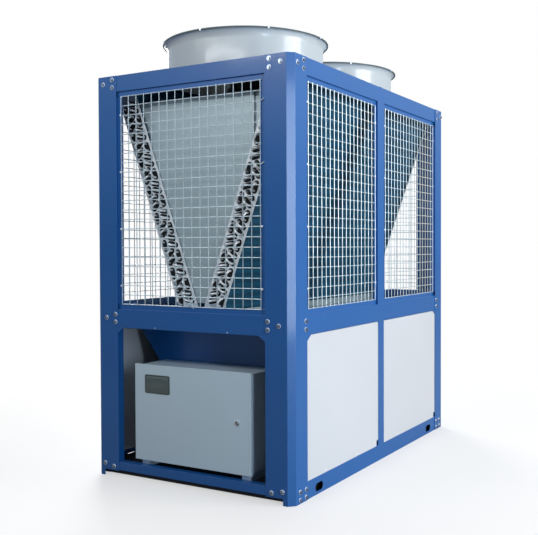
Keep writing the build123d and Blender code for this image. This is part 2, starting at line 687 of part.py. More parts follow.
def box_body():
    """A box open to the front inside a folded rim, on two feet, with a hinge barrel at each hinge."""
    x = DOOR_WIDTH / 2 - BOX_OVERLAP
    z0 = DOOR_BOTTOM + BOX_OVERLAP
    z1 = DOOR_TOP - BOX_OVERLAP
    y0 = BOX_FRONT
    y1 = BOX_FRONT + BOX_DEPTH
    t = BOX_SHEET
    rim = BOX_RIM
    body = block(-x, x, y0, y1, z0, z1) - block(-x + t, x - t, y0 + t, y1 - t, z0 + t, z1 - t)
    body -= block(-x + rim, x - rim, y0, y0 + t, z0 + rim, z1 - rim)
    for s in (-1, 1):
        foot_x = s * (x - BOX_FOOT_WIDTH)
        body += block(foot_x - BOX_FOOT_WIDTH / 2, foot_x + BOX_FOOT_WIDTH / 2, y0, y1, BASE_PAN_TOP, z0)
    half = HINGE_BARREL_HEIGHT / 2
    arm_x = HINGE_X + HINGE_BARREL_RADIUS - HINGE_ARM_WIDTH
    for z in HINGE_HEIGHTS:
        body += cylinder(HINGE_X, HINGE_Y, z - half, z + half, HINGE_BARREL_RADIUS)
        body += block(arm_x, arm_x + HINGE_ARM_WIDTH, HINGE_Y, BOX_FRONT + BOX_SHEET, z - half, z + half)
        body -= cylinder(HINGE_X, HINGE_Y, z - half, z + half, HINGE_PIN_RADIUS + HINGE_BORE_GAP)
    return body


def box_door():
    """A shallow tray whose folded left edge is cut away at each hinge, where a pin stands on two ears."""
    t = DOOR_SHEET
    door = block(DOOR_LEFT, DOOR_RIGHT, DOOR_FRONT, DOOR_BACK, DOOR_BOTTOM, DOOR_TOP)
    door -= block(DOOR_LEFT + t, DOOR_RIGHT - t, DOOR_FRONT + t, DOOR_BACK, DOOR_BOTTOM + t, DOOR_TOP - t)
    barrel = HINGE_BARREL_HEIGHT / 2 + HINGE_EAR_GAP
    reach = barrel + HINGE_EAR_HEIGHT
    for z in HINGE_HEIGHTS:
        door -= block(DOOR_LEFT, DOOR_LEFT + t, DOOR_FRONT + t, DOOR_BACK, z - reach, z + reach)
        for low, high in ((z - reach, z - barrel), (z + barrel, z + reach)):
            ear_half = HINGE_PIN_RADIUS + FIT
            door += block(HINGE_X - ear_half, HINGE_X + ear_half, DOOR_FRONT + t, HINGE_Y, low, high)
            door += cylinder(HINGE_X, HINGE_Y, low, high, ear_half)
        door += cylinder(HINGE_X, HINGE_Y, z - reach, z + reach, HINGE_PIN_RADIUS)
    return door


def door_window():
    """The display cover with rounded corners and a raised rim, face to face on the door."""
    x = DOOR_LEFT + WINDOW_FROM_EDGE + WINDOW_WIDTH / 2
    z = DOOR_TOP - WINDOW_FROM_TOP - WINDOW_HEIGHT / 2
    outline = Plane.XZ * RectangleRounded(WINDOW_WIDTH, WINDOW_HEIGHT, WINDOW_CORNER)
    pane = Plane.XZ * Rectangle(WINDOW_WIDTH - 2 * WINDOW_RIM, WINDOW_HEIGHT - 2 * WINDOW_RIM)
    cover = extrude(outline, WINDOW_THICKNESS)
    cover -= Pos(0, WINDOW_RECESS - WINDOW_THICKNESS, 0) * extrude(pane, WINDOW_RECESS)
    return Pos(x, DOOR_FRONT, z) * cover


def door_lock():
    """A round quarter-turn lock with a slotted face, face to face on the door."""
    x = DOOR_RIGHT - LOCK_FROM_EDGE
    z = (DOOR_BOTTOM + DOOR_TOP) / 2
    body = extrude(Plane.XZ * Circle(LOCK_RADIUS), LOCK_STANDS)
    slot = extrude(Plane.XZ * SlotOverall(LOCK_SLOT_LENGTH, LOCK_SLOT_WIDTH), LOCK_SLOT_DEPTH)
    body -= Pos(0, LOCK_SLOT_DEPTH - LOCK_STANDS, 0) * slot
    return Pos(x, DOOR_FRONT, z) * body


def make_parts():
    """Every sub-part by name."""
    parts = dict(corner_posts())
    for side in SIDES:
        parts[f"top_beam_{side}"] = top_beam(side)
        parts[f"mid_beam_{side}"] = mid_beam(side)
    for side in ("front", "rear"):
        beam = channel(side, BOTTOM_BEAM_BOTTOM, BOTTOM_BEAM_TOP)
        parts[f"bottom_beam_{side}"] = SIDES[side] * beam
        edge = HALF_WIDTH - POST_FRONT_FLANGE
        parts[f"guard_{side}"] = guard_in_opening(side, -edge, edge)
        parts[f"coil_end_sheet_{side}"] = coil_end_sheet(side)
    parts["panel_rear"] = tray_panel("rear", -edge, edge, BOTTOM_BEAM_TOP)
    for side in ("left", "right"):
        parts[f"base_rail_{side}"] = base_rail(side)
        parts[f"mid_post_{side}"] = mid_posts(side)
        for end, (x0, x1) in side_bays(side, UPPER_MID_POST_WIDTH).items():
            parts[f"guard_{side}_{end}"] = guard_in_opening(side, x0, x1)
        for end, (x0, x1) in side_bays(side, LOWER_MID_POST_WIDTH).items():
            parts[f"panel_{side}_{end}"] = notched_panel(side, x0, x1, BASE_RAIL_HEIGHT)
    parts["top_deck"] = top_deck()
    for name in ("front", "rear"):
        parts[f"fan_shroud_{name}"] = fan_shroud(name)
        parts[f"fan_guard_{name}"] = fan_guard(name)
        parts[f"fan_impeller_{name}"] = fan_impeller(name)
        parts[f"fan_motor_{name}"] = fan_motor(name)
    coil = right_coil()
    parts["coil_right"] = coil
    parts["coil_left"] = mirror(coil, Plane.YZ)
    parts["drain_deck"] = drain_deck()
    parts["base_pan"] = base_pan()
    parts["front_bulkhead"] = front_bulkhead()
    parts["electrical_box_body"] = box_body()
    parts["electrical_box_door"] = box_door()
    parts["electrical_box_window"] = door_window()
    parts["electrical_box_lock"] = door_lock()
    return parts


def main():
    """Write each sub-part to its own file."""
    os.makedirs("parts", exist_ok=True)
    for name, shape in make_parts().items():
        export_step(shape, f"parts/{name}.step")


main()
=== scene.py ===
import math
from collections import namedtuple

import bpy
import numpy as np
from mathutils import Euler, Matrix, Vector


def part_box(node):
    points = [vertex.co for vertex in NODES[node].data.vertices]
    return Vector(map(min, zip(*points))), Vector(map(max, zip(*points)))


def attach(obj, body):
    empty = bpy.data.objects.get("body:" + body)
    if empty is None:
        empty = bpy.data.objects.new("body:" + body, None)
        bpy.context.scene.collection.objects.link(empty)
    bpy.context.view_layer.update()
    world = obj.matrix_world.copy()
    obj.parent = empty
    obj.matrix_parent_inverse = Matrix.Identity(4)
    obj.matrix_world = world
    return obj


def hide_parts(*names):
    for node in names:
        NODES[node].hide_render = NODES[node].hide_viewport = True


bl_info = {
    "name": "Modular Heat Pump",
    "version": (1, 0, 0),
    "blender": (4, 5, 0),
    "location": "View3D > Sidebar > Heat Pump",
    "description": "Dresses the packed CAD frame of a modular air source heat pump",
    "category": "Object",
}

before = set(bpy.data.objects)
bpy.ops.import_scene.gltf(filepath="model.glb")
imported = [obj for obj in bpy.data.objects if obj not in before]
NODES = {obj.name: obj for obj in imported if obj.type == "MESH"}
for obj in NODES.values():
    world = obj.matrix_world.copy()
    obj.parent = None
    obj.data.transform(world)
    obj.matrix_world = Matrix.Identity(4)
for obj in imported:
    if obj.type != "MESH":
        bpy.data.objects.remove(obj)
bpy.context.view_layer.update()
ENDS = ("front", "rear")

# Distances of the CAD solids that their boxes don't give, in metres
LEDGE_DEPTH = 0.014
COIL_THICKNESS = 0.115
COIL_PLATE_MARGIN = 0.005
COIL_PLATE_SHEET = 0.0031
COIL_RAIL_HEIGHT = 0.057
SHROUD_FOOT_SHEET = 0.0025
SHROUD_FOOT_RADIUS = 0.4415
LIP_TOP_BELOW_GUARD = 0.006
HUB_DISH_ABOVE_DECK = 0.149
DECK_STRIP_SHEET = 0.002
BOX_SHEET = 0.003

# Soft wire of the guard's ties: its radius, the radius of its twist, and the twist in radians a metre
TIE_WIRE_RADIUS = 0.0017
TWIST_RADIUS = 0.0019
TWIST_RATE = 600

SHARP_EDGE = math.radians(35.0)
WAVE_PERIOD = 0.314  # metres between the bands of a wave texture whose scale is one
WHITE = (1.0, 1.0, 1.0, 1.0)


def linear(colour):
    """Linear RGBA of an sRGB hex colour."""
    srgb = np.array([int(colour[i:i + 2], 16) for i in (1, 3, 5)]) / 255
    rgb = np.where(srgb <= 0.04045, srgb / 12.92, ((srgb + 0.055) / 1.055) ** 2.4)
    return (*(float(value) for value in rgb), 1.0)


def length(name, description, default):
    """A length property in metres."""
    return bpy.props.FloatProperty(name=name, description=description, default=default, min=0.0, precision=4,
                                   unit="LENGTH", subtype="DISTANCE")


def colour(name, description, default):
    """A colour property whose default is an sRGB hex value."""
    return bpy.props.FloatVectorProperty(name=name, description=description, default=linear(default), size=4,
                                         min=0.0, max=1.0, subtype="COLOR")


def count(name, description, default):
    """A whole number of at least one."""
    return bpy.props.IntProperty(name=name, description=description, default=default, min=1)


class HeatPumpSizes(bpy.types.PropertyGroup):
    """Real sizes of the pieces that dress the frame."""
    guard_wire: length("Guard wire", "Diameter of the welded guard wires", 0.0044)
    fan_ring_wire: length("Fan guard ring", "Diameter of the rings of the fan guards", 0.0030)
    bolt_flats: length("Bolt head", "Width across the flats of the frame's bolt heads", 0.016)
    bolt_washer: length("Bolt washer", "Diameter of the washers under the frame's bolts", 0.024)
    panel_screw: length("Panel screw", "Diameter of the heads that hold the lower panels", 0.011)
    small_screw: length("Small screw", "Diameter of the smallest screw heads", 0.009)
    tube: length("Coil tube", "Outer diameter of the tubes that cross the coils", 0.0105)
    tube_pitch: length("Tube pitch", "Distance between tubes along a coil", 0.0381)
    row_pitch: length("Row pitch", "Distance between the rows of tubes through a coil", 0.0330)
    bend_rise: length("Return bend", "How far a return bend's legs stand out before they turn", 0.012)
    guard_columns: count("Guard columns", "Cells across each wire guard", 17)
    guard_rows: count("Guard rows", "Cells up each wire guard", 22)
    fan_rings: count("Fan guard rings", "Rings in each fan guard", 15)
    fan_spokes: count("Fan guard spokes", "Spokes and clips in each fan guard", 8)
    shroud_bolts: count("Shroud bolts", "Bolts round the foot of each shroud", 16)


class HeatPumpColours(bpy.types.PropertyGroup):
    """Colours of the finishes."""
    cabinet: colour("Cabinet", "Powder coat of the folded frame", "#1b5ea3")
    panel: colour("Panels", "Powder coat of the lower panels", "#d2d6db")
    shroud: colour("Shrouds", "Powder coat of the fan shrouds", "#bfc7c8")
    guard: colour("Guards", "Zinc of the welded guards", "#cbd9de")
    fins: colour("Fins", "Coating of the coil fins", "#0a4660")
    sheet: colour("Zinc sheet", "Galvanised sheet of the V and the drain deck", "#acbcc0")
    plate: colour("End plates", "Galvanised end plates of the coils", "#e4e8ea")
    # The box's cool blue cast is partly painted light, the blue of sky light in shade, over a light grey
    # coat.
    box: colour("Electrical box", "Powder coat of the box and its door", "#cbdfe9")
    display: colour("Display", "Smoked cover of the display", "#55625f")


def sizes():
    """The sizes that the scene holds."""
    return bpy.context.scene.heat_pump_sizes


def chosen(name):
    """A colour that the scene holds."""
    return tuple(getattr(bpy.context.scene.heat_pump_colours, name))


# Mesh tools. A shape is an array of points and an array of four-sided faces, and its faces point outwards.


def circle(sides, first=0.0):
    """Points at equal steps round the unit circle in the XY plane, starting that many steps from X."""
    u = (np.arange(sides) + first) / sides * 2 * np.pi
    return np.stack([np.cos(u), np.sin(u), np.zeros(sides)], -1)


def grid_faces(rows, columns, rows_closed=False):
    """Faces of a grid whose columns run round: each spans two neighbours in a row and the two above them."""
    a = np.arange(rows if rows_closed else rows - 1)[:, None]
    b = np.arange(columns)[None, :]
    a2, b2 = (a + 1) % rows, (b + 1) % columns
    corners = [a * columns + b, a * columns + b2, a2 * columns + b2, a2 * columns + b]
    return np.stack(corners, -1).reshape(-1, 4)


def cap_faces(first, sides):
    """Faces across a flat ring of an even number of points: strips that join each side to its facing one."""
    i = np.arange(sides // 2 - 1)
    return first + np.stack([i, i + 1, sides - 2 - i, sides - 1 - i], -1)


def capped(rings):
    """A shape from rings of points (rings, points, 3), the first and the last closed by caps."""
    rows, columns = rings.shape[:2]
    foot, head = cap_faces(0, columns)[:, ::-1], cap_faces((rows - 1) * columns, columns)
    return rings.reshape(-1, 3), np.concatenate([grid_faces(rows, columns), foot, head])


def looped(rings):
    """A shape from rings of points (rings, points, 3), the last joined to the first."""
    return rings.reshape(-1, 3), grid_faces(*rings.shape[:2], rows_closed=True)[:, ::-1]


def carried_round(profile, sides):
    """Rings of points: each (radius, height) of the profile carried once round the Z axis.

    point(u, v) = (radius(v) cos u, radius(v) sin u, height(v))
    """
    profile = np.asarray(profile, float)
    return profile[:, None, :1] * circle(sides) + profile[:, None, 1:] * [0.0, 0.0, 1.0]


def turned(profile, sides):
    """A solid turned round the Z axis from a profile of (radius, height) points, from bottom to top."""
    return capped(carried_round(profile, sides))


def turned_ring(profile, sides):
    """A ring turned round the Z axis from a closed profile of (radius, height) points, anticlockwise."""
    return looped(carried_round(profile[::-1], sides))


def tubes(paths, across, radius, sides=8, closed=False):
    """Round tubes along flat paths (tubes, points, 3), each with the normal of its plane in across.

    point(i, u) = path(i) + radius (across cos u + (tangent(i) x across) sin u)
    """
    paths = np.asarray(paths, float)
    number, steps = paths.shape[:2]
    across = np.broadcast_to(np.asarray(across, float), (number, 3))[:, None, :]
    tangent = np.roll(paths, -1, 1) - np.roll(paths, 1, 1) if closed else np.gradient(paths, axis=1)
    tangent /= np.linalg.norm(tangent, axis=2, keepdims=True)
    side = np.cross(tangent, across)
    ring = circle(sides)
    points = paths[:, :, None] + radius * (across[:, :, None] * ring[:, :1] + side[:, :, None] * ring[:, 1:2])
    faces = grid_faces(steps, sides, rows_closed=True) if closed else capped(points[0])[1]
    offsets = np.arange(number)[:, None, None] * steps * sides
    return points.reshape(-1, 3), (faces + offsets).reshape(-1, 4)


def rounded_outline(width, height, corner, steps):
    """Points of a rounded rectangle, anticlockwise: four quarter circles joined by straight sides."""
    u = np.linspace(0, np.pi / 2, steps)
    arc = np.stack([np.cos(u), np.sin(u)], -1) * corner
    arcs = [arc, arc[::-1] * [-1, 1], -arc, arc[::-1] * [1, -1]]
    centres = np.array([[1, 1], [-1, 1], [-1, -1], [1, -1]]) * [width / 2 - corner, height / 2 - corner]
    return np.concatenate([points + centre for points, centre in zip(arcs, centres)])


def stacked(width, height, corner, profile, least, steps=4):
    """Rings of points: a rounded rectangle grown by each outset of a profile of (outset, height) points.

    The radius of its corners grows with it and is no less than the least.
    """
    rings = []
    for outset, z in profile:
        ring = rounded_outline(width + 2 * outset, height + 2 * outset, max(corner + outset, least), steps)
        rings.append(np.column_stack([ring, np.full(len(ring), z)]))
    return np.array(rings)


def pad(width, height, depth, corner, bevel, steps=4):
    """A block on Z = 0 with round corners and a small bevel round its top."""
    profile = ((0.0, 0.0), (0.0, depth - bevel), (-bevel * 0.3, depth - bevel * 0.3), (-bevel, depth))
    return capped(stacked(width, height, corner, profile, bevel * 0.2, steps))


def frame_ring(width, height, corner, profile):
    """A moulding round a rounded rectangle, from an anticlockwise profile of (outset, height) points."""
    return looped(stacked(width, height, corner, profile[::-1], 0.0002))


def turn(x=0.0, y=0.0, z=0.0):
    """Rotation matrix from turns about X, Y and Z in degrees."""
    return np.array(Euler([math.radians(a) for a in (x, y, z)]).to_matrix())


def placed(shape, at, rotation=None):
    """The shape turned about the origin and moved."""
    points, faces = shape
    if rotation is not None:
        points = points @ rotation.T
    return points + np.asarray(at, float), faces


def repeated(shape, places, rotations=None):
    """Copies of a shape at many places, each turned by its own matrix."""
    points, faces = shape
    places = np.asarray(places, float)
    if rotations is None:
        copies = np.broadcast_to(points, (len(places), *points.shape))
    else:
        copies = np.einsum("kij,nj->kni", np.asarray(rotations, float), points)
    offsets = np.arange(len(places))[:, None, None] * len(points)
    return (copies + places[:, None, :]).reshape(-1, 3), (faces + offsets).reshape(-1, 4)


def all_round(shape, centre, number, first=0.0):
    """Copies of a shape at equal turns about an upright axis through the centre."""
    turns = [turn(z=first + 360.0 / number * i) for i in range(number)]
    return repeated(shape, np.broadcast_to(centre, (number, 3)), turns)


def joined(*shapes):
    """One shape from several."""
    points, faces = zip(*shapes)
    starts = np.cumsum([0] + [len(part) for part in points[:-1]])
    return np.concatenate(points), np.concatenate([part + start for part, start in zip(faces, starts)])


def new_piece(name, shape, material, body="cabinet", stands_for=()):
    """Makes a mesh object of a shape in its final place, which rides on a CAD body."""
    points, faces = shape
    mesh = bpy.data.meshes.new(name)
    mesh.vertices.add(len(points))
    mesh.vertices.foreach_set("co", points.astype(np.float32).ravel())
    mesh.loops.add(faces.size)
    mesh.loops.foreach_set("vertex_index", faces.astype(np.int32).ravel())
    mesh.polygons.add(len(faces))
    mesh.polygons.foreach_set("loop_start", np.arange(0, faces.size, 4, dtype=np.int32))
    mesh.polygons.foreach_set("use_smooth", np.ones(len(faces), bool))
    mesh.update(calc_edges=True)
    mesh.validate()
    mesh.set_sharp_from_angle(angle=SHARP_EDGE)
    mesh.materials.append(material)
    piece = bpy.data.objects.new(name, mesh)
    bpy.context.scene.collection.objects.link(piece)
    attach(piece, body)
    if stands_for:
        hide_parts(*stands_for)


def dress(material, *names):
    """Gives CAD nodes a material in place of their plain one."""
    for name in names:
        mesh = NODES[name].data
        mesh.materials.clear()
        mesh.materials.append(material)


# Material tools


def feed(tree, node, inputs):
    """Gives each named input of a node a value, or a link from an output."""
    for key, value in inputs.items():
        if isinstance(value, bpy.types.NodeSocket):
            tree.links.new(value, node.inputs[key])
        else:
            node.inputs[key].default_value = value


def add_node(tree, kind, inputs=None, stops=(), **properties):
    """Adds a node with its properties, inputs and, on a ramp, (position, colour) stops. Gives its outputs."""
    node = tree.nodes.new("ShaderNode" + kind)
    for key, value in properties.items():
        setattr(node, key, value)
    for number, (position, tint) in enumerate(stops):
        element = node.color_ramp.elements[number]
        element.position = position
        element.color = tint
    feed(tree, node, inputs or {})
    return node.outputs


def new_material(name, base, roughness, **constants):
    """A material, its tree, its Principled shader, and the Object coordinates that its patterns follow.

    A value that is the same all over the surface is set on the shader's own socket.
    """
    material = bpy.data.materials.new(name)
    material.use_nodes = True
    material.diffuse_color = base
    tree = material.node_tree
    shader = tree.nodes["Principled BSDF"]
    constants = {"Base_Color": base, "Roughness": roughness, **constants}
    feed(tree, shader, {key.replace("_", " "): value for key, value in constants.items()})
    return material, tree, shader, add_node(tree, "TexCoord")["Object"]


def shade(base, factor):
    """A colour made lighter or darker."""
    return (*(min(1.0, value * factor) for value in base[:3]), 1.0)


def powder_coat(name, base, roughness, wave=0.0):
    """Polyester powder coat, sprayed and baked on folded sheet steel.

    It gives an even colour with a faint orange peel that breaks reflections up, thin paler lines of painted
    highlight along folded edges, and a slow change of tone over large faces. The real peel is
    1 to 2 mm across, too fine to show, so it is drawn at 6 mm. A wave adds the slow ripple of a wide,
    thin sheet, about 0.4 m long.
    """
    material, tree, shader, place = new_material(
        name, base, roughness, IOR=1.45, Coat_Weight=0.3, Coat_Roughness=0.1)
    cloud = add_node(tree, "TexNoise", {"Vector": place, "Scale": 2.2, "Detail": 3.0})["Fac"]
    shades = (0.3, shade(base, 0.98)), (0.7, shade(base, 1.02))
    tone = add_node(tree, "ValToRGB", {"Fac": cloud}, stops=shades)["Color"]
    edge = add_node(tree, "Bevel", {"Radius": 0.0025}, samples=4)["Normal"]
    plain = add_node(tree, "NewGeometry")["Normal"]
    flatness = add_node(tree, "VectorMath", {0: edge, 1: plain}, operation="DOT_PRODUCT")["Value"]
    # A paler tint along folded edges, where the rounded normal turns away: a painted highlight along the
    # folds.
    painted_edge_highlight = add_node(tree, "MapRange", {
        "Value": flatness, "From Min": 0.85, "From Max": 0.995, "To Min": 0.45, "To Max": 0.0})["Result"]
    pale = shade(tuple(value + 0.08 for value in base[:3]), 1.25)
    surface = add_node(tree, "Mix", {0: painted_edge_highlight, 6: tone, 7: pale}, data_type="RGBA")[2]
    gloss = add_node(tree, "MapRange", {
        "Value": cloud, "From Min": 0.3, "From Max": 0.7,
        "To Min": roughness - 0.04, "To Max": roughness + 0.05})["Result"]
    peel = add_node(tree, "TexNoise", {"Vector": place, "Scale": 1 / 0.006, "Detail": 1.0})["Fac"]
    bump = add_node(tree, "Bump", {
        "Height": peel, "Strength": 0.12, "Distance": 0.0002, "Normal": edge})["Normal"]
    if wave:
        ripple = add_node(tree, "TexNoise", {"Vector": place, "Scale": 1 / 0.4, "Detail": 0.0})["Fac"]
        bump = add_node(tree, "Bump", {
            "Height": ripple, "Strength": 1.0, "Distance": wave, "Normal": bump})["Normal"]
    feed(tree, shader, {"Base Color": surface, "Roughness": gloss, "Normal": bump})
    return material


def galvanised(name, base, roughness):
    """Hot-dip galvanised steel, dulled by a first thin oxide.

    It gives a grey metal with a cool cast whose zinc crystals, about 12 mm across, each reflect a little
    differently.
    """
    material, tree, shader, place = new_material(name, base, roughness, Metallic=0.55)
    crystal = add_node(tree, "TexVoronoi", {"Vector": place, "Scale": 1 / 0.012, "Randomness": 1.0})["Color"]
    split = add_node(tree, "SeparateColor", {"Color": crystal})
    shades = (0.0, shade(base, 0.96)), (1.0, shade(base, 1.03))
    tone = add_node(tree, "ValToRGB", {"Fac": split["Red"]}, stops=shades)["Color"]
    gloss = add_node(tree, "MapRange", {
        "Value": split["Green"], "To Min": roughness - 0.04, "To Max": roughness + 0.04})["Result"]
    edge = add_node(tree, "Bevel", {"Radius": 0.0015}, samples=4)["Normal"]
    feed(tree, shader, {"Base Color": tone, "Roughness": gloss, "Normal": edge})
    return material


def finned(name, base, plate, end):
    """Aluminium fin stock with a blue-green epoxy coating, stacked on edge between galvanised end plates.

    It gives a dark, soft field of upright fin edges, each paler at its edge with painted shade in the gap
    behind it, and faint level bands where the tubes pass behind them, 36 mm apart. The real fins stand
    2.1 mm apart, too fine to show, so every fourth is drawn. Past the distance end from the middle the
    surface is the zinc of the end plates.
    """
    material, tree, shader, place = new_material(name, base, 0.55, Specular_IOR_Level=0.2)
    fins = add_node(tree, "TexWave", {
        "Vector": place, "Scale": WAVE_PERIOD / (4 * 0.0021), "Distortion": 0.0},
        bands_direction="Y", wave_profile="SAW")["Fac"]
    rows = add_node(tree, "TexWave", {
        "Vector": place, "Scale": WAVE_PERIOD / 0.0359, "Distortion": 0.0},
        bands_direction="Z", wave_profile="SIN")["Fac"]
    cloud = add_node(tree, "TexNoise", {"Vector": place, "Scale": 9.0, "Detail": 4.0})["Fac"]
    level = add_node(tree, "Math", {0: rows, 1: 0.35}, operation="MULTIPLY")[0]
    # Fin stripes run from a darker gap to a paler edge: painted shade between the fins.
    lines = add_node(tree, "Math", {0: fins, 1: 0.35, 2: level}, operation="MULTIPLY_ADD")[0]
    mixed = add_node(tree, "Math", {0: cloud, 1: 0.4, 2: lines}, operation="MULTIPLY_ADD")[0]
    shades = (0.1, shade(base, 0.35)), (1.0, shade(base, 1.5))
    tone = add_node(tree, "ValToRGB", {"Fac": mixed}, stops=shades)["Color"]
    along = add_node(tree, "SeparateXYZ", {"Vector": place})["Y"]
    reach = add_node(tree, "Math", {0: along}, operation="ABSOLUTE")[0]
    is_plate = add_node(tree, "Math", {0: reach, 1: end}, operation="GREATER_THAN")[0]
    surface = add_node(tree, "Mix", {0: is_plate, 6: tone, 7: plate}, data_type="RGBA")[2]
    metal = add_node(tree, "Math", {0: is_plate, 1: 0.5}, operation="MULTIPLY")[0]
    bump = add_node(tree, "Bump", {"Height": fins, "Strength": 0.5, "Distance": 0.002})["Normal"]
    feed(tree, shader, {"Base Color": surface, "Metallic": metal, "Normal": bump})
    return material


def zinc_wire(name, base):
    """Drawn steel wire, zinc plated after welding.

    It gives a pale satin metal with slightly darker, duller stretches about 30 mm long.
    """
    material, tree, shader, place = new_material(name, base, 0.38, Metallic=0.5)
    cloud = add_node(tree, "TexNoise", {"Vector": place, "Scale": 1 / 0.03, "Detail": 2.0})["Fac"]
    shades = (0.35, shade(base, 0.88)), (0.65, shade(base, 1.06))
    feed(tree, shader, {"Base Color": add_node(tree, "ValToRGB", {"Fac": cloud}, stops=shades)["Color"]})
    return material


def cast_aluminium(name, base):
    """Die-cast aluminium, shot blasted.

    It gives an even satin grey with a fine grain of about 1 mm, drawn at 3 mm.
    """
    material, tree, shader, place = new_material(name, base, 0.42, Metallic=0.9)
    grain = add_node(tree, "TexNoise", {"Vector": place, "Scale": 1 / 0.003, "Detail": 2.0})["Fac"]
    gloss = add_node(tree, "MapRange", {"Value": grain, "To Min": 0.34, "To Max": 0.52})["Result"]
    bump = add_node(tree, "Bump", {"Height": grain, "Strength": 0.2, "Distance": 0.0003})["Normal"]
    feed(tree, shader, {"Roughness": gloss, "Normal": bump})
    return material


def moulded(name, base, roughness, **constants):
    """Moulded or sprayed material with a fine skin: plastic, rubber or enamel.

    It gives a soft, even sheen, with a grain of about 1.5 mm drawn at 3 mm.
    """
    material, tree, shader, place = new_material(name, base, roughness, IOR=1.5, **constants)
    grain = add_node(tree, "TexNoise", {"Vector": place, "Scale": 1 / 0.003, "Detail": 1.0})["Fac"]
    shades = (0.2, shade(base, 0.96)), (0.8, shade(base, 1.04))
    tone = add_node(tree, "ValToRGB", {"Fac": grain}, stops=shades)["Color"]
    bump = add_node(tree, "Bump", {"Height": grain, "Strength": 0.1, "Distance": 0.0002})["Normal"]
    feed(tree, shader, {"Base Color": tone, "Normal": bump})
    return material


def plated(name, base, roughness, metallic=1.0):
    """Steel or zinc with a bright plating: zinc on washers and screws, blueing on bolts, chrome on the lock.

    It gives a clean metal reflection with small changes of gloss about 5 mm across.
    """
    material, tree, shader, place = new_material(name, base, roughness, Metallic=metallic)
    cloud = add_node(tree, "TexNoise", {"Vector": place, "Scale": 1 / 0.005, "Detail": 1.0})["Fac"]
    gloss = add_node(tree, "MapRange", {
        "Value": cloud, "To Min": roughness * 0.8, "To Max": roughness * 1.3})["Result"]
    feed(tree, shader, {"Roughness": gloss})
    return material


# Places on the frame

# An outer face: half its width, its distance from the upright axis, and its turn about that axis in degrees
Face = namedtuple("Face", "name half distance angle")


def outer_faces():
    """The four outer faces of the cabinet."""
    low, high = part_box("corner_post_front_right")
    x, y = high.x, -low.y
    return [Face("front", x, y, 0.0), Face("right", y, x, 90.0), Face("rear", x, y, 180.0),
            Face("left", y, x, -90.0)]


def on_face(shape, face, points, spins=0.0):
    """Copies of a shape that stand out from an outer face, each spun about its own axis by degrees.

    points holds (along, height, depth) with along to the right as one looks at the face. The face's own
    frame has X along, Z up and Y inwards, and is turned about Z by its angle.
    """
    points = np.asarray(points, float)
    local = np.column_stack([points[:, 0], points[:, 2] - face.distance, points[:, 1]])
    matrix = turn(z=face.angle)
    turns = [matrix @ turn(x=90) @ turn(z=spin) for spin in np.broadcast_to(spins, len(points))]
    return repeated(shape, local @ matrix.T, turns)


def corners_of(node):
    """A node's lowest and highest corners as an array."""
    return np.array([list(corner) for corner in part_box(node)])


def box_on_face(node, face):
    """A node's lowest and highest corners in the frame of an outer face."""
    corners = corners_of(node) @ turn(z=-face.angle).T
    return corners.min(0), corners.max(0)


def middle_at(node, y):
    """The middle of a node as seen from the front, at a depth."""
    x, _, z = corners_of(node).mean(0)
    return np.array([x, y, z])


# Fasteners. Heads and clips stand on Z = 0.


def washer(diameter, flats):
    """A round washer with a rounded edge."""
    r = diameter / 2
    return turned([(r, 0.0), (r, 0.0018), (r - 0.0006, 0.0024), (flats * 0.4, 0.0024)], 20)


def hex_head(flats):
    """A hexagon head with a chamfered top, raised to stand on a washer.

    Its radius at angle u is flats / 2 divided by the cosine of u's offset from the nearest flat.
    """
    u = np.arange(24) / 24 * 2 * np.pi
    hexagon = flats / 2 / np.cos((u + np.pi / 6) % (np.pi / 3) - np.pi / 6)
    profile = ((hexagon, 0.002), (hexagon, 0.0078), (np.minimum(hexagon, flats * 0.48), 0.0095))
    return capped(np.array([radius[:, None] * circle(24) + [0.0, 0.0, z] for radius, z in profile]))


def hex_bolt(flats, diameter):
    """A hexagon head on its washer."""
    return joined(washer(diameter, flats), hex_head(flats))


def pan_screw(diameter):
    """A domed screw head with a shallow round drive recess."""
    r = diameter / 2
    dome = [(r * math.cos(a), r * 0.55 * math.sin(a)) for a in np.linspace(0.1, 1.2, 5)]
    recess = [(r * 0.30, dome[-1][1] + 0.0001), (r * 0.22, dome[-1][1] - 0.0012)]
    return turned([(r, 0.0), *dome, *recess], 16)


def guard_clip(diameter):
    """A stamped spacer as tall as the guard, with a screw through it."""
    spacer = pad(width=0.011, height=0.010, depth=0.0066, corner=0.003, bevel=0.0012)
    return joined(spacer, placed(pan_screw(diameter), (0, 0, 0.0064)))


def twisted_wires(span):
    """Two soft wires twisted round each other along X, centred on the origin.

    Each wire is x = t, y = r cos(rate t + phase), z = r sin(rate t + phase), the phases half a turn apart.
    """
    t = np.linspace(-span / 2, span / 2, 21)
    turns = [TWIST_RATE * t + phase for phase in (0, np.pi)]
    strands = [np.stack([t, TWIST_RADIUS * np.cos(u), TWIST_RADIUS * np.sin(u)], -1) for u in turns]
    return tubes(strands, (0, 0, 1), TIE_WIRE_RADIUS, 6)


def wire_tie():
    """A loop of soft wire round the guard's edge wire, x = a cos u, z = b sin u, with a twisted tail."""
    loop = circle(16)[:, [0, 2, 1]] * [0.0065, 0.0, 0.0058] + [-0.004, 0.0, 0.004]
    tail = placed(twisted_wires(0.019), (0.009, 0.004, 0.006), turn(y=-15, z=25))
    return joined(tubes(loop[None], (0, 1, 0), TIE_WIRE_RADIUS, 6, closed=True), tail)


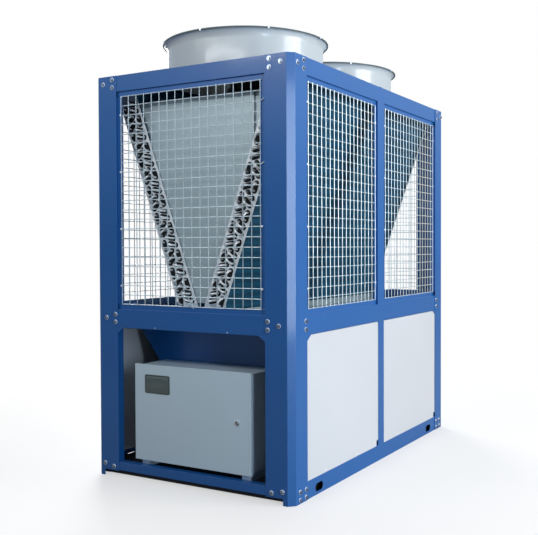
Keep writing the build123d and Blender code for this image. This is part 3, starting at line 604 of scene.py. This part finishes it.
class HEATPUMP_OT_cabinet(bpy.types.Operator):
    """Powder coat of the frame, deck and bulkhead, the base pan's painted shade, and the frame's bolts"""
    bl_idname = "heatpump.cabinet"
    bl_label = "Cabinet"

    BLUE = ("corner_post", "top_beam", "mid_beam", "bottom_beam", "base_rail", "mid_post", "top_deck",
            "front_bulkhead")
    # Bolts as (distance from the corner, height); those near the roof are measured down from it
    FRONT_TOP = ((0.062, -0.040), (0.123, -0.020), (0.123, -0.060))
    SIDE_TOP = ((0.051, -0.041), (0.1095, -0.020), (0.1095, -0.060))
    FRONT_LOW = ((0.075, 0.845), (0.136, 0.864), (0.136, 0.824), (0.058, 0.065), (0.118, 0.053))
    SIDE_LOW = ((0.127, 0.863), (0.127, 0.822), (0.067, 0.056), (0.126, 0.056), (0.067, 0.018),
                (0.126, 0.018))
    BOLT_SPIN = 37.0  # degrees from one bolt head to the next
    # Small screws along the lower edge of the front mid beam, as (along, height, depth)
    BEAM_SCREWS = ((-0.208, 0.800, 0.003), (0.237, 0.800, 0.003))
    STRIP_SCREWS = np.linspace(-0.56, 0.56, 9)

    def execute(self, context):
        enamel = powder_coat("polyester_powder_coat_blue", chosen("cabinet"), 0.34)
        dress(enamel, *(name for name in NODES if name.startswith(self.BLUE)))
        # The base pan's near-black coat is painted shade: the dark of the bay floor and under the frame.
        dress(moulded("painted_shade_pan_coat", linear("#14181c"), 0.75), "base_pan")
        zinc = plated("zinc_plated_steel", linear("#e2e6e8"), 0.34, 0.6)
        steel = plated("blued_steel", linear("#8493a6"), 0.24)
        head = hex_head(sizes().bolt_flats)
        disc = washer(sizes().bolt_washer, sizes().bolt_flats)
        screw = pan_screw(sizes().small_screw)
        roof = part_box("corner_post_front_right")[1].z
        faces = outer_faces()
        for face in faces:
            short = face.name in ENDS
            spots = [(x, roof + z) for x, z in (self.FRONT_TOP if short else self.SIDE_TOP)]
            spots += self.FRONT_LOW if short else self.SIDE_LOW
            both = [(side * (face.half - x), z, 0.0) for x, z in spots for side in (-1, 1)]
            spins = self.BOLT_SPIN * np.arange(len(both))
            new_piece(f"bolts_{face.name}", on_face(head, face, both, spins), steel)
            new_piece(f"washers_{face.name}", on_face(disc, face, both, spins), zinc)
        new_piece("beam_screws_front", on_face(screw, faces[0], self.BEAM_SCREWS), steel)
        strip = [(x, 0.0, roof + DECK_STRIP_SHEET) for x in self.STRIP_SCREWS]
        new_piece("deck_strip_screws", repeated(screw, strip), zinc)
        return {"FINISHED"}


class HEATPUMP_OT_panels(bpy.types.Operator):
    """Powder coat of the lower panels and the screws along their lower edges"""
    bl_idname = "heatpump.panels"
    bl_label = "Lower panels"

    # Screws as distances from a side panel's front edge, and from each edge of the rear panel
    SIDE_SCREWS = (0.200, 0.570)
    REAR_SCREW = 0.150
    SCREW_RISE = 0.009

    def execute(self, context):
        names = [name for name in NODES if name.startswith("panel_")]
        dress(powder_coat("polyester_powder_coat_white", chosen("panel"), 0.40, wave=0.0008), *names)
        zinc = bpy.data.materials["zinc_plated_steel"]
        screw = pan_screw(sizes().panel_screw)
        faces = {face.name: face for face in outer_faces()}
        for name in names:
            face = faces[name.split("_")[1]]
            low, high = box_on_face(name, face)
            if face.name == "right":
                along = [low[0] + x for x in self.SIDE_SCREWS]
            elif face.name == "left":
                along = [high[0] - x for x in self.SIDE_SCREWS]
            else:
                along = [low[0] + self.REAR_SCREW, 0.0, high[0] - self.REAR_SCREW]
            points = [(x, low[2] + self.SCREW_RISE, face.distance + low[1]) for x in along]
            new_piece(f"screws_{name}", on_face(screw, face, points), zinc)
        return {"FINISHED"}


class HEATPUMP_OT_guards(bpy.types.Operator):
    """Welded wire guards of round wire, with the clips and ties that hold them"""
    bl_idname = "heatpump.guards"
    bl_label = "Wire guards"

    # Level wires, counted from the top, at which both edges are held
    HELD_WIRES = (2, 8, 14, 20)
    # How many of them are tied on the right-hand edge of the front guard, the others being clipped
    TIED = 2
    CLIP_OUTSET = 0.0045
    # Two crossed ties at the middle of the front guard's foot, as (along, height, depth) and their spins
    FOOT_TIES = ((0.016, 0.938, 0.002), (0.019, 0.936, 0.0058))
    FOOT_TIE_SPINS = (40.0, -58.0)
    FOOT_TIE_SPAN = 0.062
    BOW = 0.0006

    def welded_mesh(self, width, height):
        """Uprights in front of level wires, sunk a sixth of the wire into each other at the welds.

        An upright's path is x = i * pitch + bow, y = wire / 2, z from bottom to top, where the bow is a slow
        sine of under a millimetre over the sheet, so that it isn't dead flat. A level wire's is the same
        with x and z exchanged.
        """
        d, columns, rows = sizes().guard_wire, sizes().guard_columns, sizes().guard_rows
        t = np.linspace(-0.5, 0.5, 13)
        x = (np.arange(columns + 1) / columns - 0.5)[:, None] * (width - d)
        z = (np.arange(rows + 1) / rows - 0.5)[:, None] * (height - d)
        bow = self.BOW * np.sin(7.3 * x / width + 5 * t)
        uprights = np.stack(np.broadcast_arrays(x + bow, d / 2, t * height), -1)
        bow = self.BOW * np.sin(7.3 * t + 5 * z / height)
        levels = np.stack(np.broadcast_arrays(t * width, d * 4 / 3, z + bow), -1)
        return joined(tubes(uprights, (1, 0, 0), d / 2), tubes(levels, (0, 0, 1), d / 2))

    def execute(self, context):
        wire = zinc_wire("zinc_plated_wire", chosen("guard"))
        zinc = bpy.data.materials["zinc_plated_steel"]
        clip = guard_clip(sizes().small_screw)
        for face in outer_faces():
            matrix = turn(z=face.angle)
            for node in [name for name in NODES if name.startswith(f"guard_{face.name}")]:
                low, high = box_on_face(node, face)
                middle = (low + high) / 2
                at = matrix @ [middle[0], low[1], middle[2]]
                mesh = placed(self.welded_mesh(high[0] - low[0], high[2] - low[2]), at, matrix)
                new_piece(f"welded_{node}", mesh, wire, stands_for=[node])
                pitch = (high[2] - low[2]) / sizes().guard_rows
                left, right = ([(x, high[2] - pitch * row, LEDGE_DEPTH) for row in self.HELD_WIRES]
                               for x in (low[0] - self.CLIP_OUTSET, high[0] + self.CLIP_OUTSET))
                tied = right[:self.TIED] if face.name == "front" else []
                clips = on_face(clip, face, left + right[len(tied):])
                new_piece(f"clips_{node}", clips, zinc)
                if tied:
                    twist = twisted_wires(self.FOOT_TIE_SPAN)
                    foot = on_face(twist, face, self.FOOT_TIES, self.FOOT_TIE_SPINS)
                    ties = joined(on_face(wire_tie(), face, tied), foot)
                    new_piece(f"ties_{node}", ties, wire)
        return {"FINISHED"}


class HEATPUMP_OT_coils(bpy.types.Operator):
    """Coated fins, the tube ends and return bends of both coils, and the sheets that close the V"""
    bl_idname = "heatpump.coils"
    bl_label = "Coils"

    ROW_END = 0.025  # length at each end of a coil that counts for no tube
    SHADOW_PAD_WIDTH = 0.030
    SHADOW_PAD_DEPTH = 0.0010

    def tube_rows(self):
        """Centres of the tubes in the three rows of the right-hand coil, on a section at Y = 0.

        A centre is foot + s * along + row * over, with s at equal steps up the slope and the middle row half
        a step higher than its neighbours.
        """
        pitch = sizes().tube_pitch
        low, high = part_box("coil_right")
        top = high.z - COIL_RAIL_HEIGHT
        inner_low = low.x + COIL_PLATE_MARGIN
        inner_high = high.x - COIL_PLATE_MARGIN - COIL_THICKNESS
        slope = math.atan2(inner_high - inner_low, top - low.z)
        along = np.array([math.sin(slope), 0.0, math.cos(slope)])
        over = np.array([math.cos(slope), 0.0, -math.sin(slope)]) * sizes().row_pitch
        foot = np.array([inner_low + COIL_THICKNESS / 2, 0.0, low.z])
        run = (top - low.z) / math.cos(slope)
        number = int((run - 2 * self.ROW_END) / pitch)
        s = (run - (number - 1) * pitch) / 2 + pitch * np.arange(number)
        shifts = ((-1, -pitch / 4), (0, pitch / 4), (1, -pitch / 4))
        return [foot + (s + shift)[:, None] * along + row * over for row, shift in shifts]

    def bend_pairs(self, rows):
        """Tubes that a bend joins: in blocks of two, across the near rows, then across the far rows."""
        near, middle, far = (row[:len(row) // 2 * 2].reshape(-1, 2, 3) for row in rows)
        first, second = slice(0, None, 2), slice(1, None, 2)
        starts = [near[first, 0], near[first, 1], far[first, 0],
                  near[second, 0], middle[second, 0], middle[second, 1]]
        ends = [middle[first, 0], middle[first, 1], far[first, 1],
                near[second, 1], far[second, 0], far[second, 1]]
        return np.concatenate(starts), np.concatenate(ends)

    def execute(self, context):
        plate_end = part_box("coil_right")[1].y
        fins = finned("coated_fin_stock", chosen("fins"), chosen("plate"), plate_end - COIL_PLATE_SHEET)
        dress(fins, "coil_left", "coil_right")
        sheet = galvanised("galvanised_sheet", chosen("sheet"), 0.42)
        dress(sheet, "coil_end_sheet_front", "coil_end_sheet_rear", "drain_deck")
        pipe = moulded("tinned_copper_tube", linear("#e6eaeb"), 0.32, Metallic=0.3)
        # Near-black pads on the end plates: painted shadow under and inside the return bends.
        shadow = moulded("bend_shadow_paint", linear("#0e1214"), 0.9)
        starts, ends = self.bend_pairs(self.tube_rows())
        u = np.linspace(0, np.pi, 11)[:, None]
        for side, mirror in (("right", 1), ("left", -1)):
            flip = np.array([mirror, 1, 1])
            middle, half = (starts + ends) / 2 * flip, (ends - starts) / 2 * flip
            reach = np.linalg.norm(half, axis=1, keepdims=True)
            # Each pad, a millimetre thick, is the painted shadow of one bend.
            shadow_pad = pad(2 * float(reach.mean()) + self.SHADOW_PAD_WIDTH, self.SHADOW_PAD_WIDTH, self.SHADOW_PAD_DEPTH,
                       corner=self.SHADOW_PAD_WIDTH / 2 - 0.0002, bevel=0.0003)
            for end, sign in (("front", -1), ("rear", 1)):
                out = np.array([0.0, sign, 0.0])
                centre = middle + out * plate_end
                rise = out * (np.sin(u) * reach[:, None] + sizes().bend_rise)
                bend = centre[:, None] - half[:, None] * np.cos(u) + rise
                paths = np.concatenate([(centre - half)[:, None], bend, (centre + half)[:, None]], axis=1)
                bends = tubes(paths, np.cross(half / reach, out), sizes().tube / 2)
                new_piece(f"return_bends_{side}_{end}", bends, pipe)
                axes = [half / reach, np.cross(out, half / reach), np.broadcast_to(out, half.shape)]
                shadow_pads = repeated(shadow_pad, centre, np.stack(axes, -1))
                new_piece(f"painted_bend_shadows_{side}_{end}", shadow_pads, shadow)
        return {"FINISHED"}


class HEATPUMP_OT_fans(bpy.types.Operator):
    """Shrouds with painted shade round the lip, clips and bolts, guards of round wire, impellers and motors
    """
    bl_idname = "heatpump.fans"
    bl_label = "Fans"

    GUARD_HUB = 0.088
    SPOKE_RADIUS = 0.0022
    CLIP_TURN = 2.0
    # Closed outline of the dark band round the rim, painted shade under the lip,
    # as (distance out from the rim, height over the lip)
    LIP_SHADE_BAND = ((-0.004, -0.0045), (0.0012, -0.0045), (0.0020, -0.0032), (0.0020, 0.0002), (0.0012, 0.0015),
            (-0.004, 0.0015))
    # Bolts as (width across the flats, diameter of the washer)
    SHROUD_BOLT = (0.010, 0.016)
    HUB_BOLT = (0.008, 0.013)
    HUB_NUT = (0.024, 0.036)
    HUB_BOLTS = 6
    HUB_BOLT_RADIUS = 0.048

    def wire_guard(self, rim, top):
        """Rings at equal steps of radius, on straight spokes that lie under them."""
        d, spokes = sizes().fan_ring_wire, sizes().fan_spokes
        radii = np.linspace(self.GUARD_HUB, rim - 0.006, sizes().fan_rings)
        rings = radii[:, None, None] * circle(96) + [0, 0, top - d / 2]
        r = np.linspace(self.GUARD_HUB - 0.004, rim - 0.0085, 9)
        rods = r[None, :, None] * circle(spokes, 0.5)[:, None, :] + [0, 0, top - d - 0.0008]
        hoops = tubes(rings, (0, 0, 1), d / 2, 6, closed=True)
        return joined(hoops, tubes(rods, (0, 0, 1), self.SPOKE_RADIUS))

    def guard_clips(self, rim, lip, centre):
        """Clips that bridge the guard's outer rings and hook over the lip."""
        bridge = placed(pad(0.030, 0.010, 0.0045, 0.003, 0.001), (rim - 0.0122, 0, lip + 0.0003))
        hook = placed(pad(0.0035, 0.010, 0.0120, 0.0012, 0.0008), (rim + 0.0035, 0, lip - 0.0075))
        return all_round(joined(bridge, hook), centre, sizes().fan_spokes, self.CLIP_TURN)

    def hub_bolts(self, centre, dish):
        """A nut on the motor's shaft and a circle of small bolts round it."""
        bolt = placed(hex_bolt(*self.HUB_BOLT), (self.HUB_BOLT_RADIUS, 0, dish))
        nut = placed(hex_bolt(*self.HUB_NUT), centre + [0, 0, dish])
        return joined(all_round(bolt, centre, self.HUB_BOLTS), nut)

    def execute(self, context):
        coat = powder_coat("polyester_powder_coat_grey", chosen("shroud"), 0.30)
        cast = cast_aluminium("blasted_cast_aluminium", linear("#8d9193"))
        enamel = moulded("black_motor_enamel", linear("#1b1e21"), 0.4)
        nylon = moulded("nylon_coated_wire", linear("#d3d9da"), 0.4)
        # A dark grey band round each shroud's rim: painted shade under the lip.
        rubber = moulded("painted_lip_shade", linear("#505c59"), 0.6)
        zinc = bpy.data.materials["zinc_plated_steel"]
        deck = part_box("fan_shroud_front")[0].z
        bolt = placed(hex_bolt(*self.SHROUD_BOLT), (SHROUD_FOOT_RADIUS, 0, deck + SHROUD_FOOT_SHEET))
        number = sizes().shroud_bolts
        for end in ENDS:
            for part, material in (("shroud", coat), ("impeller", cast), ("motor", enamel)):
                dress(material, f"fan_{part}_{end}")
            node = f"fan_guard_{end}"
            low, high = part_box(node)
            centre = np.array([(low.x + high.x) / 2, (low.y + high.y) / 2, 0.0])
            rim = (high.x - low.x) / 2
            lip = high.z - LIP_TOP_BELOW_GUARD
            guard = placed(self.wire_guard(rim, high.z), centre)
            new_piece(f"wire_{node}", guard, nylon, stands_for=[node])
            lip_band = placed(turned_ring([(rim + r, lip + z) for r, z in self.LIP_SHADE_BAND], 128), centre)
            new_piece(f"lip_shade_band_{end}", lip_band, rubber)
            new_piece(f"guard_clips_{end}", self.guard_clips(rim, lip, centre), zinc)
            bolts = all_round(bolt, centre, number, 180.0 / number)
            new_piece(f"shroud_bolts_{end}", bolts, zinc)
            hub = self.hub_bolts(centre, deck + HUB_DISH_ABOVE_DECK)
            new_piece(f"hub_bolts_{end}", hub, zinc)
        return {"FINISHED"}


class HEATPUMP_OT_electrical_box(bpy.types.Operator):
    """The electrical box, its door with a gasket, the display and the lock"""
    bl_idname = "heatpump.electrical_box"
    bl_label = "Electrical box"

    # Closed outline of the gasket as (outset, height), and how far it lies in from the door's edges
    GASKET = ((-0.012, 0.0), (0.0, 0.0), (0.0, 0.006), (-0.004, 0.0075), (-0.008, 0.0075), (-0.012, 0.006))
    GASKET_INSET = 0.014
    BEZEL_WIDTH = 0.007
    # Closed outline of the line round the screen, behind the smoked cover, as (outset, height)
    OUTLINE = ((-0.002, 0.0), (0.0, 0.0), (0.0, 0.0004), (-0.002, 0.0004))
    MODULE_DEPTH = 0.030
    # Profiles of the lock as shares of its radius and depth
    COLLAR = ((0.80, 0.0), (1.0, 0.0), (1.0, 0.5), (0.93, 1.0), (0.84, 1.0), (0.80, 0.8))
    PLUG = ((0.80, 0.0), (0.79, 0.50), (0.70, 0.56))

    def execute(self, context):
        box = powder_coat("polyester_powder_coat_light_grey", chosen("box"), 0.38)
        dress(box, "electrical_box_body", "electrical_box_door")
        low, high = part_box("electrical_box_door")
        width, height = (high[axis] - low[axis] - 2 * self.GASKET_INSET for axis in (0, 2))
        gasket = frame_ring(width, height, 0.004, self.GASKET)
        rubber = moulded("foamed_rubber", linear("#15181a"), 0.85)
        self.on_door("door_gasket", gasket, middle_at("electrical_box_door", high.y + 0.0076), rubber)
        self.make_display(low.y + 0.002)
        self.make_lock()
        return {"FINISHED"}

    def on_door(self, name, shape, at, material, slot="display_cover", stands_for=()):
        """A piece that stands out from the door towards the viewer."""
        new_piece(name, placed(shape, at, turn(x=90)), material, "door", stands_for)

    def make_display(self, back):
        """The smoked cover in its bezel, and the module behind the door that it belongs to."""
        low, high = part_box("electrical_box_window")
        at = middle_at("electrical_box_window", high.y)
        w, h, t, b = high.x - low.x, high.z - low.z, high.y - low.y, self.BEZEL_WIDTH
        plastic = moulded("abs_bezel", linear("#3e4846"), 0.42)
        cover = moulded("smoked_polycarbonate", chosen("display"), 0.10, Coat_Weight=0.6, Coat_Roughness=0.03)
        rim = [(-b, 0.0), (0.0, 0.0), (0.0, t - 0.001), (-0.001, t), (0.001 - b, t), (-b, t - 0.001)]
        self.on_door("display_bezel", frame_ring(w, h, 0.008, rim), at, plastic)
        glass = pad(w - 2 * b, h - 2 * b, t - 0.0012, 0.003, 0.0004)
        self.on_door("display_glass", glass, at, cover, stands_for=["electrical_box_window"])
        screen = frame_ring(w - 0.050, h - 0.040, 0.002, self.OUTLINE)
        self.on_door("display_outline", screen, at - [0, t - 0.0013, 0], plastic)
        module = pad(w - 0.020, h - 0.010, self.MODULE_DEPTH, 0.003, 0.002)
        module = placed(module, (at[0], back, at[2]), turn(x=-90))
        new_piece("display_module", module, plastic, "door")

    def make_lock(self):
        """A chromed collar round a near-black plug of painted shade, with a wing across it."""
        low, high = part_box("electrical_box_lock")
        at = middle_at("electrical_box_lock", high.y)
        r, t = (high.x - low.x) / 2, high.y - low.y
        chrome = plated("chromed_zinc", linear("#eef0f1"), 0.16, 0.9)
        # The plug is near black: painted shade inside the collar.
        dark = moulded("lock_plug_shade", linear("#101214"), 0.6)
        collar, plug = ([(r * x, t * z) for x, z in profile] for profile in (self.COLLAR, self.PLUG))
        wing = placed(pad(r * 0.34, r * 1.30, t * 0.86, 0.0015, 0.0006), (0, 0, 0), turn(z=-35))
        ring = turned_ring(collar, 48)
        self.on_door("lock_collar", ring, at, chrome, "lock_chrome", ["electrical_box_lock"])
        self.on_door("lock_plug", turned(plug, 32), at, dark, "lock_chrome")
        self.on_door("lock_wing", wing, at, chrome, "lock_chrome")


class HEATPUMP_OT_box_contents(bpy.types.Operator):
    """What stands behind the door: the mounting plate, rails, wiring ducts, switches and terminals"""
    bl_idname = "heatpump.box_contents"
    bl_label = "Box contents"

    # Heights over the middle of the door
    BREAKER_RAIL = 0.105
    CONTACTOR_RAIL = -0.030
    TERMINAL_RAIL = -0.160
    DUCTS = (0.185, 0.038, -0.098)
    # Depths out from the back of the box
    PLATE_BACK = 0.010
    PLATE_FRONT = 0.012
    RAIL_FLANGE = 0.0188
    RAIL_FRONT = 0.0198

    def execute(self, context):
        at = middle_at("electrical_box_door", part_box("electrical_box_body")[1].y - BOX_SHEET)
        zinc = galvanised("zinc_mounting_plate", linear("#c3c9ca"), 0.4)
        duct = moulded("slotted_pvc_duct", linear("#8f9799"), 0.5)
        breaker = moulded("polyamide_breaker_case", linear("#d5d8d6"), 0.45)
        contactor = moulded("black_polyamide_case", linear("#24282b"), 0.5)
        terminal = moulded("polyamide_terminal", linear("#b9b7ab"), 0.5)
        for name, shape, material, slot in (
                ("mounting_plate", self.plate(), zinc, "galvanised_sheet"),
                ("wiring_ducts", self.ducts(), duct, "box_enamel"),
                ("circuit_breakers", self.breakers(), breaker, "box_enamel"),
                ("contactors", self.contactors(), contactor, "motor_enamel"),
                ("terminals", self.terminals(), terminal, "box_enamel")):
            new_piece(name, placed(shape, at, turn(x=90)), material)
        return {"FINISHED"}

    def on_rail(self, shape, rail, number, step, first):
        """A row of equal pieces on a rail, the first at a distance from the middle."""
        return repeated(shape, [(x, rail, self.RAIL_FRONT) for x in np.arange(number) * step + first])

    def plate(self):
        """A plate on four stands, and three hat rails: each a channel with a flange across its front."""
        stand = turned([(0.008, 0.0), (0.008, 0.010), (0.0075, 0.0102)], 16)
        corners = [(x, y, 0.0) for x in (-0.300, 0.300) for y in (-0.195, 0.195)]
        sheet = placed(pad(0.640, 0.430, 0.002, 0.004, 0.0005), (0, 0, self.PLATE_BACK))
        parts = [repeated(stand, corners), sheet]
        for y in (self.BREAKER_RAIL, self.CONTACTOR_RAIL, self.TERMINAL_RAIL):
            parts.append(placed(pad(0.560, 0.025, 0.0070, 0.0010, 0.0005), (0, y, self.PLATE_FRONT)))
            parts.append(placed(pad(0.560, 0.035, 0.0012, 0.0005, 0.0003), (0, y, self.RAIL_FLANGE)))
        return joined(*parts)

    def ducts(self):
        """Level ducts 25 mm wide: two rows of fingers 5 mm wide at 8 mm steps, on a base and under a lid."""
        finger = pad(0.005, 0.0018, 0.032, 0.0004, 0.0002, 2)
        base, lid = pad(0.568, 0.025, 0.006, 0.0008, 0.0004), pad(0.568, 0.027, 0.005, 0.001, 0.0008)
        x = np.arange(71) * 0.008 - 0.28
        parts = []
        for y in self.DUCTS:
            parts += [placed(base, (0, y, self.PLATE_FRONT)), placed(lid, (0, y, 0.0475))]
            parts += [repeated(finger, [(a, y + side * 0.0112, 0.0165) for a in x]) for side in (-1, 1)]
        return joined(*parts)

    def breakers(self):
        """A row of one-module switches 17.5 mm wide, each with a stepped nose and a lever."""
        case = pad(0.0172, 0.080, 0.042, 0.001, 0.0008, 2)
        nose = pad(0.0172, 0.045, 0.062, 0.001, 0.0008, 2)
        lever = placed(pad(0.009, 0.010, 0.072, 0.002, 0.001, 2), (0, 0.008, 0))
        return self.on_rail(joined(case, nose, lever), self.BREAKER_RAIL, 14, 0.0177, -0.255)

    def contactors(self):
        """Contactors 45 mm wide, each a stepped case with a row of three domed screws at each end."""
        case = pad(0.0445, 0.082, 0.055, 0.002, 0.001)
        nose = pad(0.0445, 0.050, 0.082, 0.002, 0.0015)
        button = pad(0.012, 0.016, 0.086, 0.003, 0.001)
        spots = [(x, y, 0.055) for x in (-0.013, 0.0, 0.013) for y in (-0.033, 0.033)]
        contactor = joined(case, nose, button, repeated(pan_screw(0.007), spots))
        return self.on_rail(contactor, self.CONTACTOR_RAIL, 5, 0.062, -0.235)

    def terminals(self):
        """A row of stepped terminal blocks 5.8 mm wide."""
        block = joined(*(pad(0.0058, height, depth, 0.001, 0.0005, 2)
                         for height, depth in ((0.050, 0.034), (0.026, 0.044))))
        return self.on_rail(block, self.TERMINAL_RAIL, 44, 0.0062, -0.20)


class HEATPUMP_OT_stage(bpy.types.Operator):
    """Pale floor and sky, soft lamps, and the camera"""
    bl_idname = "heatpump.stage"
    bl_label = "Stage"

    # Lamps as (name, place, target, width, height, power in watts, colour)
    LAMPS = (
        ("key_softbox", (6.4, 0.9, 2.4), (0.2, 0.0, 1.1), 3.2, 3.2, 380, "#ffffff"),
        ("edge_softbox", (4.9, -3.5, 1.6), (0.6, -1.0, 1.3), 0.7, 2.6, 90, "#dcecff"),
        ("front_strip", (0.4, -3.0, 2.7), (0.4, -1.0, 1.6), 3.0, 0.08, 16, "#ffffff"),
        ("front_softbox", (-1.8, -4.6, 4.2), (0.0, -1.0, 1.5), 3.2, 2.0, 52, "#ffffff"),
        ("top_softbox", (0.0, 0.8, 6.0), (0.0, 0.3, 2.0), 3.5, 3.5, 90, "#ffffff"),
        ("back_softbox", (-4.4, 5.0, 3.2), (0.0, 0.0, 1.1), 3.2, 3.2, 420, "#ffffff"),
    )
    FLOOR_RADII = (0.1, 40.0)
    # The floor's own light fades in from the cabinet's foot to open floor, so that the soft shadow stays
    FADE_DISTANCES = (1.2, 3.2)
    FADE_SHARES = (0.55, 1.0)

    def execute(self, context):
        context.scene.view_settings.view_transform = "Standard"
        self.make_floor(context.scene)
        self.make_world(context.scene)
        for lamp in self.LAMPS:
            self.add_lamp(context.scene, *lamp)
        self.add_camera(context.scene)
        return {"FINISHED"}

    def make_floor(self, scene):
        """A disc of pale floor, white to the eye and in gloss, that keeps a soft shadow and throws little up.

        Its points are (r cos u, r sin u, 0) on two rings, the inner one closed by a cap.
        """
        rings = np.array([radius * circle(64) for radius in self.FLOOR_RADII])
        faces = np.concatenate([grid_faces(2, 64)[:, ::-1], cap_faces(0, 64)])
        mesh = bpy.data.meshes.new("floor")
        mesh.from_pydata(rings.reshape(-1, 3).tolist(), [], faces.tolist())
        pale = linear("#f4f4f4")
        material, tree, shader, place = new_material("painted_studio_floor", pale, 0.6)
        seen = self.seen_by(tree, 0.15)
        bounce = add_node(tree, "Mix", {0: seen, 6: linear("#5e5e5e"), 7: pale}, data_type="RGBA")[2]
        feed(tree, shader, {"Base Color": bounce})
        away = add_node(tree, "VectorMath", {0: place}, operation="LENGTH")["Value"]
        near, far = self.FADE_DISTANCES
        least, most = self.FADE_SHARES
        fade = add_node(tree, "MapRange", {
            "Value": away, "From Min": near, "From Max": far, "To Min": least, "To Max": most})["Result"]
        share = add_node(tree, "Math", {0: fade, 1: seen}, operation="MULTIPLY")[0]
        white = add_node(tree, "Emission", {"Color": WHITE, "Strength": 1.0})[0]
        both = add_node(tree, "MixShader", {0: share, 1: shader.outputs[0], 2: white})[0]
        feed(tree, tree.nodes["Material Output"], {"Surface": both})
        mesh.materials.append(material)
        floor = bpy.data.objects.new("floor", mesh)
        scene.collection.objects.link(floor)

    def make_world(self, scene):
        """A dim sky for light, white to the eye and through glass, and in gloss pale above and dim below."""
        scene.world = bpy.data.worlds.new("studio")
        scene.world.use_nodes = True
        tree = scene.world.node_tree
        direction = add_node(tree, "TexCoord")["Generated"]
        height = add_node(tree, "SeparateXYZ", {"Vector": direction})["Z"]
        glow = add_node(tree, "MapRange", {
            "Value": height, "From Min": -0.05, "From Max": 0.35, "To Min": 0.1, "To Max": 1.3})["Result"]
        dim = tree.nodes["Background"]
        feed(tree, dim, {"Color": linear("#d3e4f6"), "Strength": 0.07})
        pale = add_node(tree, "Background", {"Color": linear("#dce8f8"), "Strength": glow})[0]
        white = add_node(tree, "Background", {"Color": WHITE, "Strength": 1.0})[0]
        is_gloss = add_node(tree, "LightPath")["Is Glossy Ray"]
        lit = add_node(tree, "MixShader", {0: is_gloss, 1: dim.outputs[0], 2: pale})[0]
        both = add_node(tree, "MixShader", {0: self.seen_by(tree, 0.0), 1: lit, 2: white})[0]
        feed(tree, tree.nodes["World Output"], {"Surface": both})

    def seen_by(self, tree, gloss):
        """One for rays from the camera or glass, the share gloss for reflections, and nothing for light."""
        path = add_node(tree, "LightPath")
        clear = add_node(tree, "Math", {
            0: path["Is Camera Ray"], 1: path["Is Transmission Ray"]}, operation="MAXIMUM")[0]
        part = add_node(tree, "Math", {0: path["Is Glossy Ray"], 1: gloss}, operation="MULTIPLY")[0]
        return add_node(tree, "Math", {0: clear, 1: part}, operation="MAXIMUM")[0]

    def add_lamp(self, scene, name, at, target, width, height, power, tint):
        """An area lamp at a place, facing a target."""
        lamp = bpy.data.lights.new(name, "AREA")
        lamp.shape = "RECTANGLE"
        lamp.size = width
        lamp.size_y = height
        lamp.energy = power
        lamp.color = linear(tint)[:3]
        holder = bpy.data.objects.new(name, lamp)
        holder.location = at
        x, y, z = np.array(target) - np.array(at)
        tilt, heading = math.atan2(z, math.hypot(x, y)), math.atan2(y, x)
        holder.rotation_euler = (tilt + math.pi / 2, 0.0, heading - math.pi / 2)
        holder.visible_camera = False
        scene.collection.objects.link(holder)

    def add_camera(self, scene):
        """The camera in the photograph's place."""
        camera = bpy.data.cameras.new("camera")
        camera.sensor_width = 36.0
        camera.lens = 56.02
        camera.shift_x = -0.0037
        camera.shift_y = -0.0026
        camera.clip_end = 200.0
        eye = bpy.data.objects.new("camera", camera)
        eye.location = (2.4999, -4.4213, 1.2151)
        eye.rotation_euler = [math.radians(a) for a in (88.7185, 0.2028, 30.7183)]
        scene.collection.objects.link(eye)
        scene.camera = eye


OPERATORS = (
    HEATPUMP_OT_cabinet,
    HEATPUMP_OT_panels,
    HEATPUMP_OT_guards,
    HEATPUMP_OT_coils,
    HEATPUMP_OT_fans,
    HEATPUMP_OT_electrical_box,
    HEATPUMP_OT_box_contents,
    HEATPUMP_OT_stage,
)


class HEATPUMP_PT_panel(bpy.types.Panel):
    """Lists the pieces in the order they are made, with their sizes and colours"""
    bl_idname = "HEATPUMP_PT_panel"
    bl_label = "Heat Pump"
    bl_space_type = "VIEW_3D"
    bl_region_type = "UI"
    bl_category = "Heat Pump"

    def draw(self, context):
        for operator in OPERATORS:
            self.layout.operator(operator.bl_idname)
        for group in (context.scene.heat_pump_sizes, context.scene.heat_pump_colours):
            box = self.layout.box()
            for name in group.__annotations__:
                box.prop(group, name)


CLASSES = (HeatPumpSizes, HeatPumpColours, *OPERATORS, HEATPUMP_PT_panel)


def register():
    """Registers the classes and gives the scene its sizes and colours."""
    for cls in CLASSES:
        bpy.utils.register_class(cls)
    bpy.types.Scene.heat_pump_sizes = bpy.props.PointerProperty(type=HeatPumpSizes)
    bpy.types.Scene.heat_pump_colours = bpy.props.PointerProperty(type=HeatPumpColours)


def unregister():
    """Takes the classes and the scene's properties away again."""
    del bpy.types.Scene.heat_pump_colours
    del bpy.types.Scene.heat_pump_sizes
    for cls in reversed(CLASSES):
        bpy.utils.unregister_class(cls)


def main():
    """Makes every piece."""
    register()
    for operator in OPERATORS:
        group, name = operator.bl_idname.split(".")
        getattr(getattr(bpy.ops, group), name)()


if __name__ == "__main__":
    main()
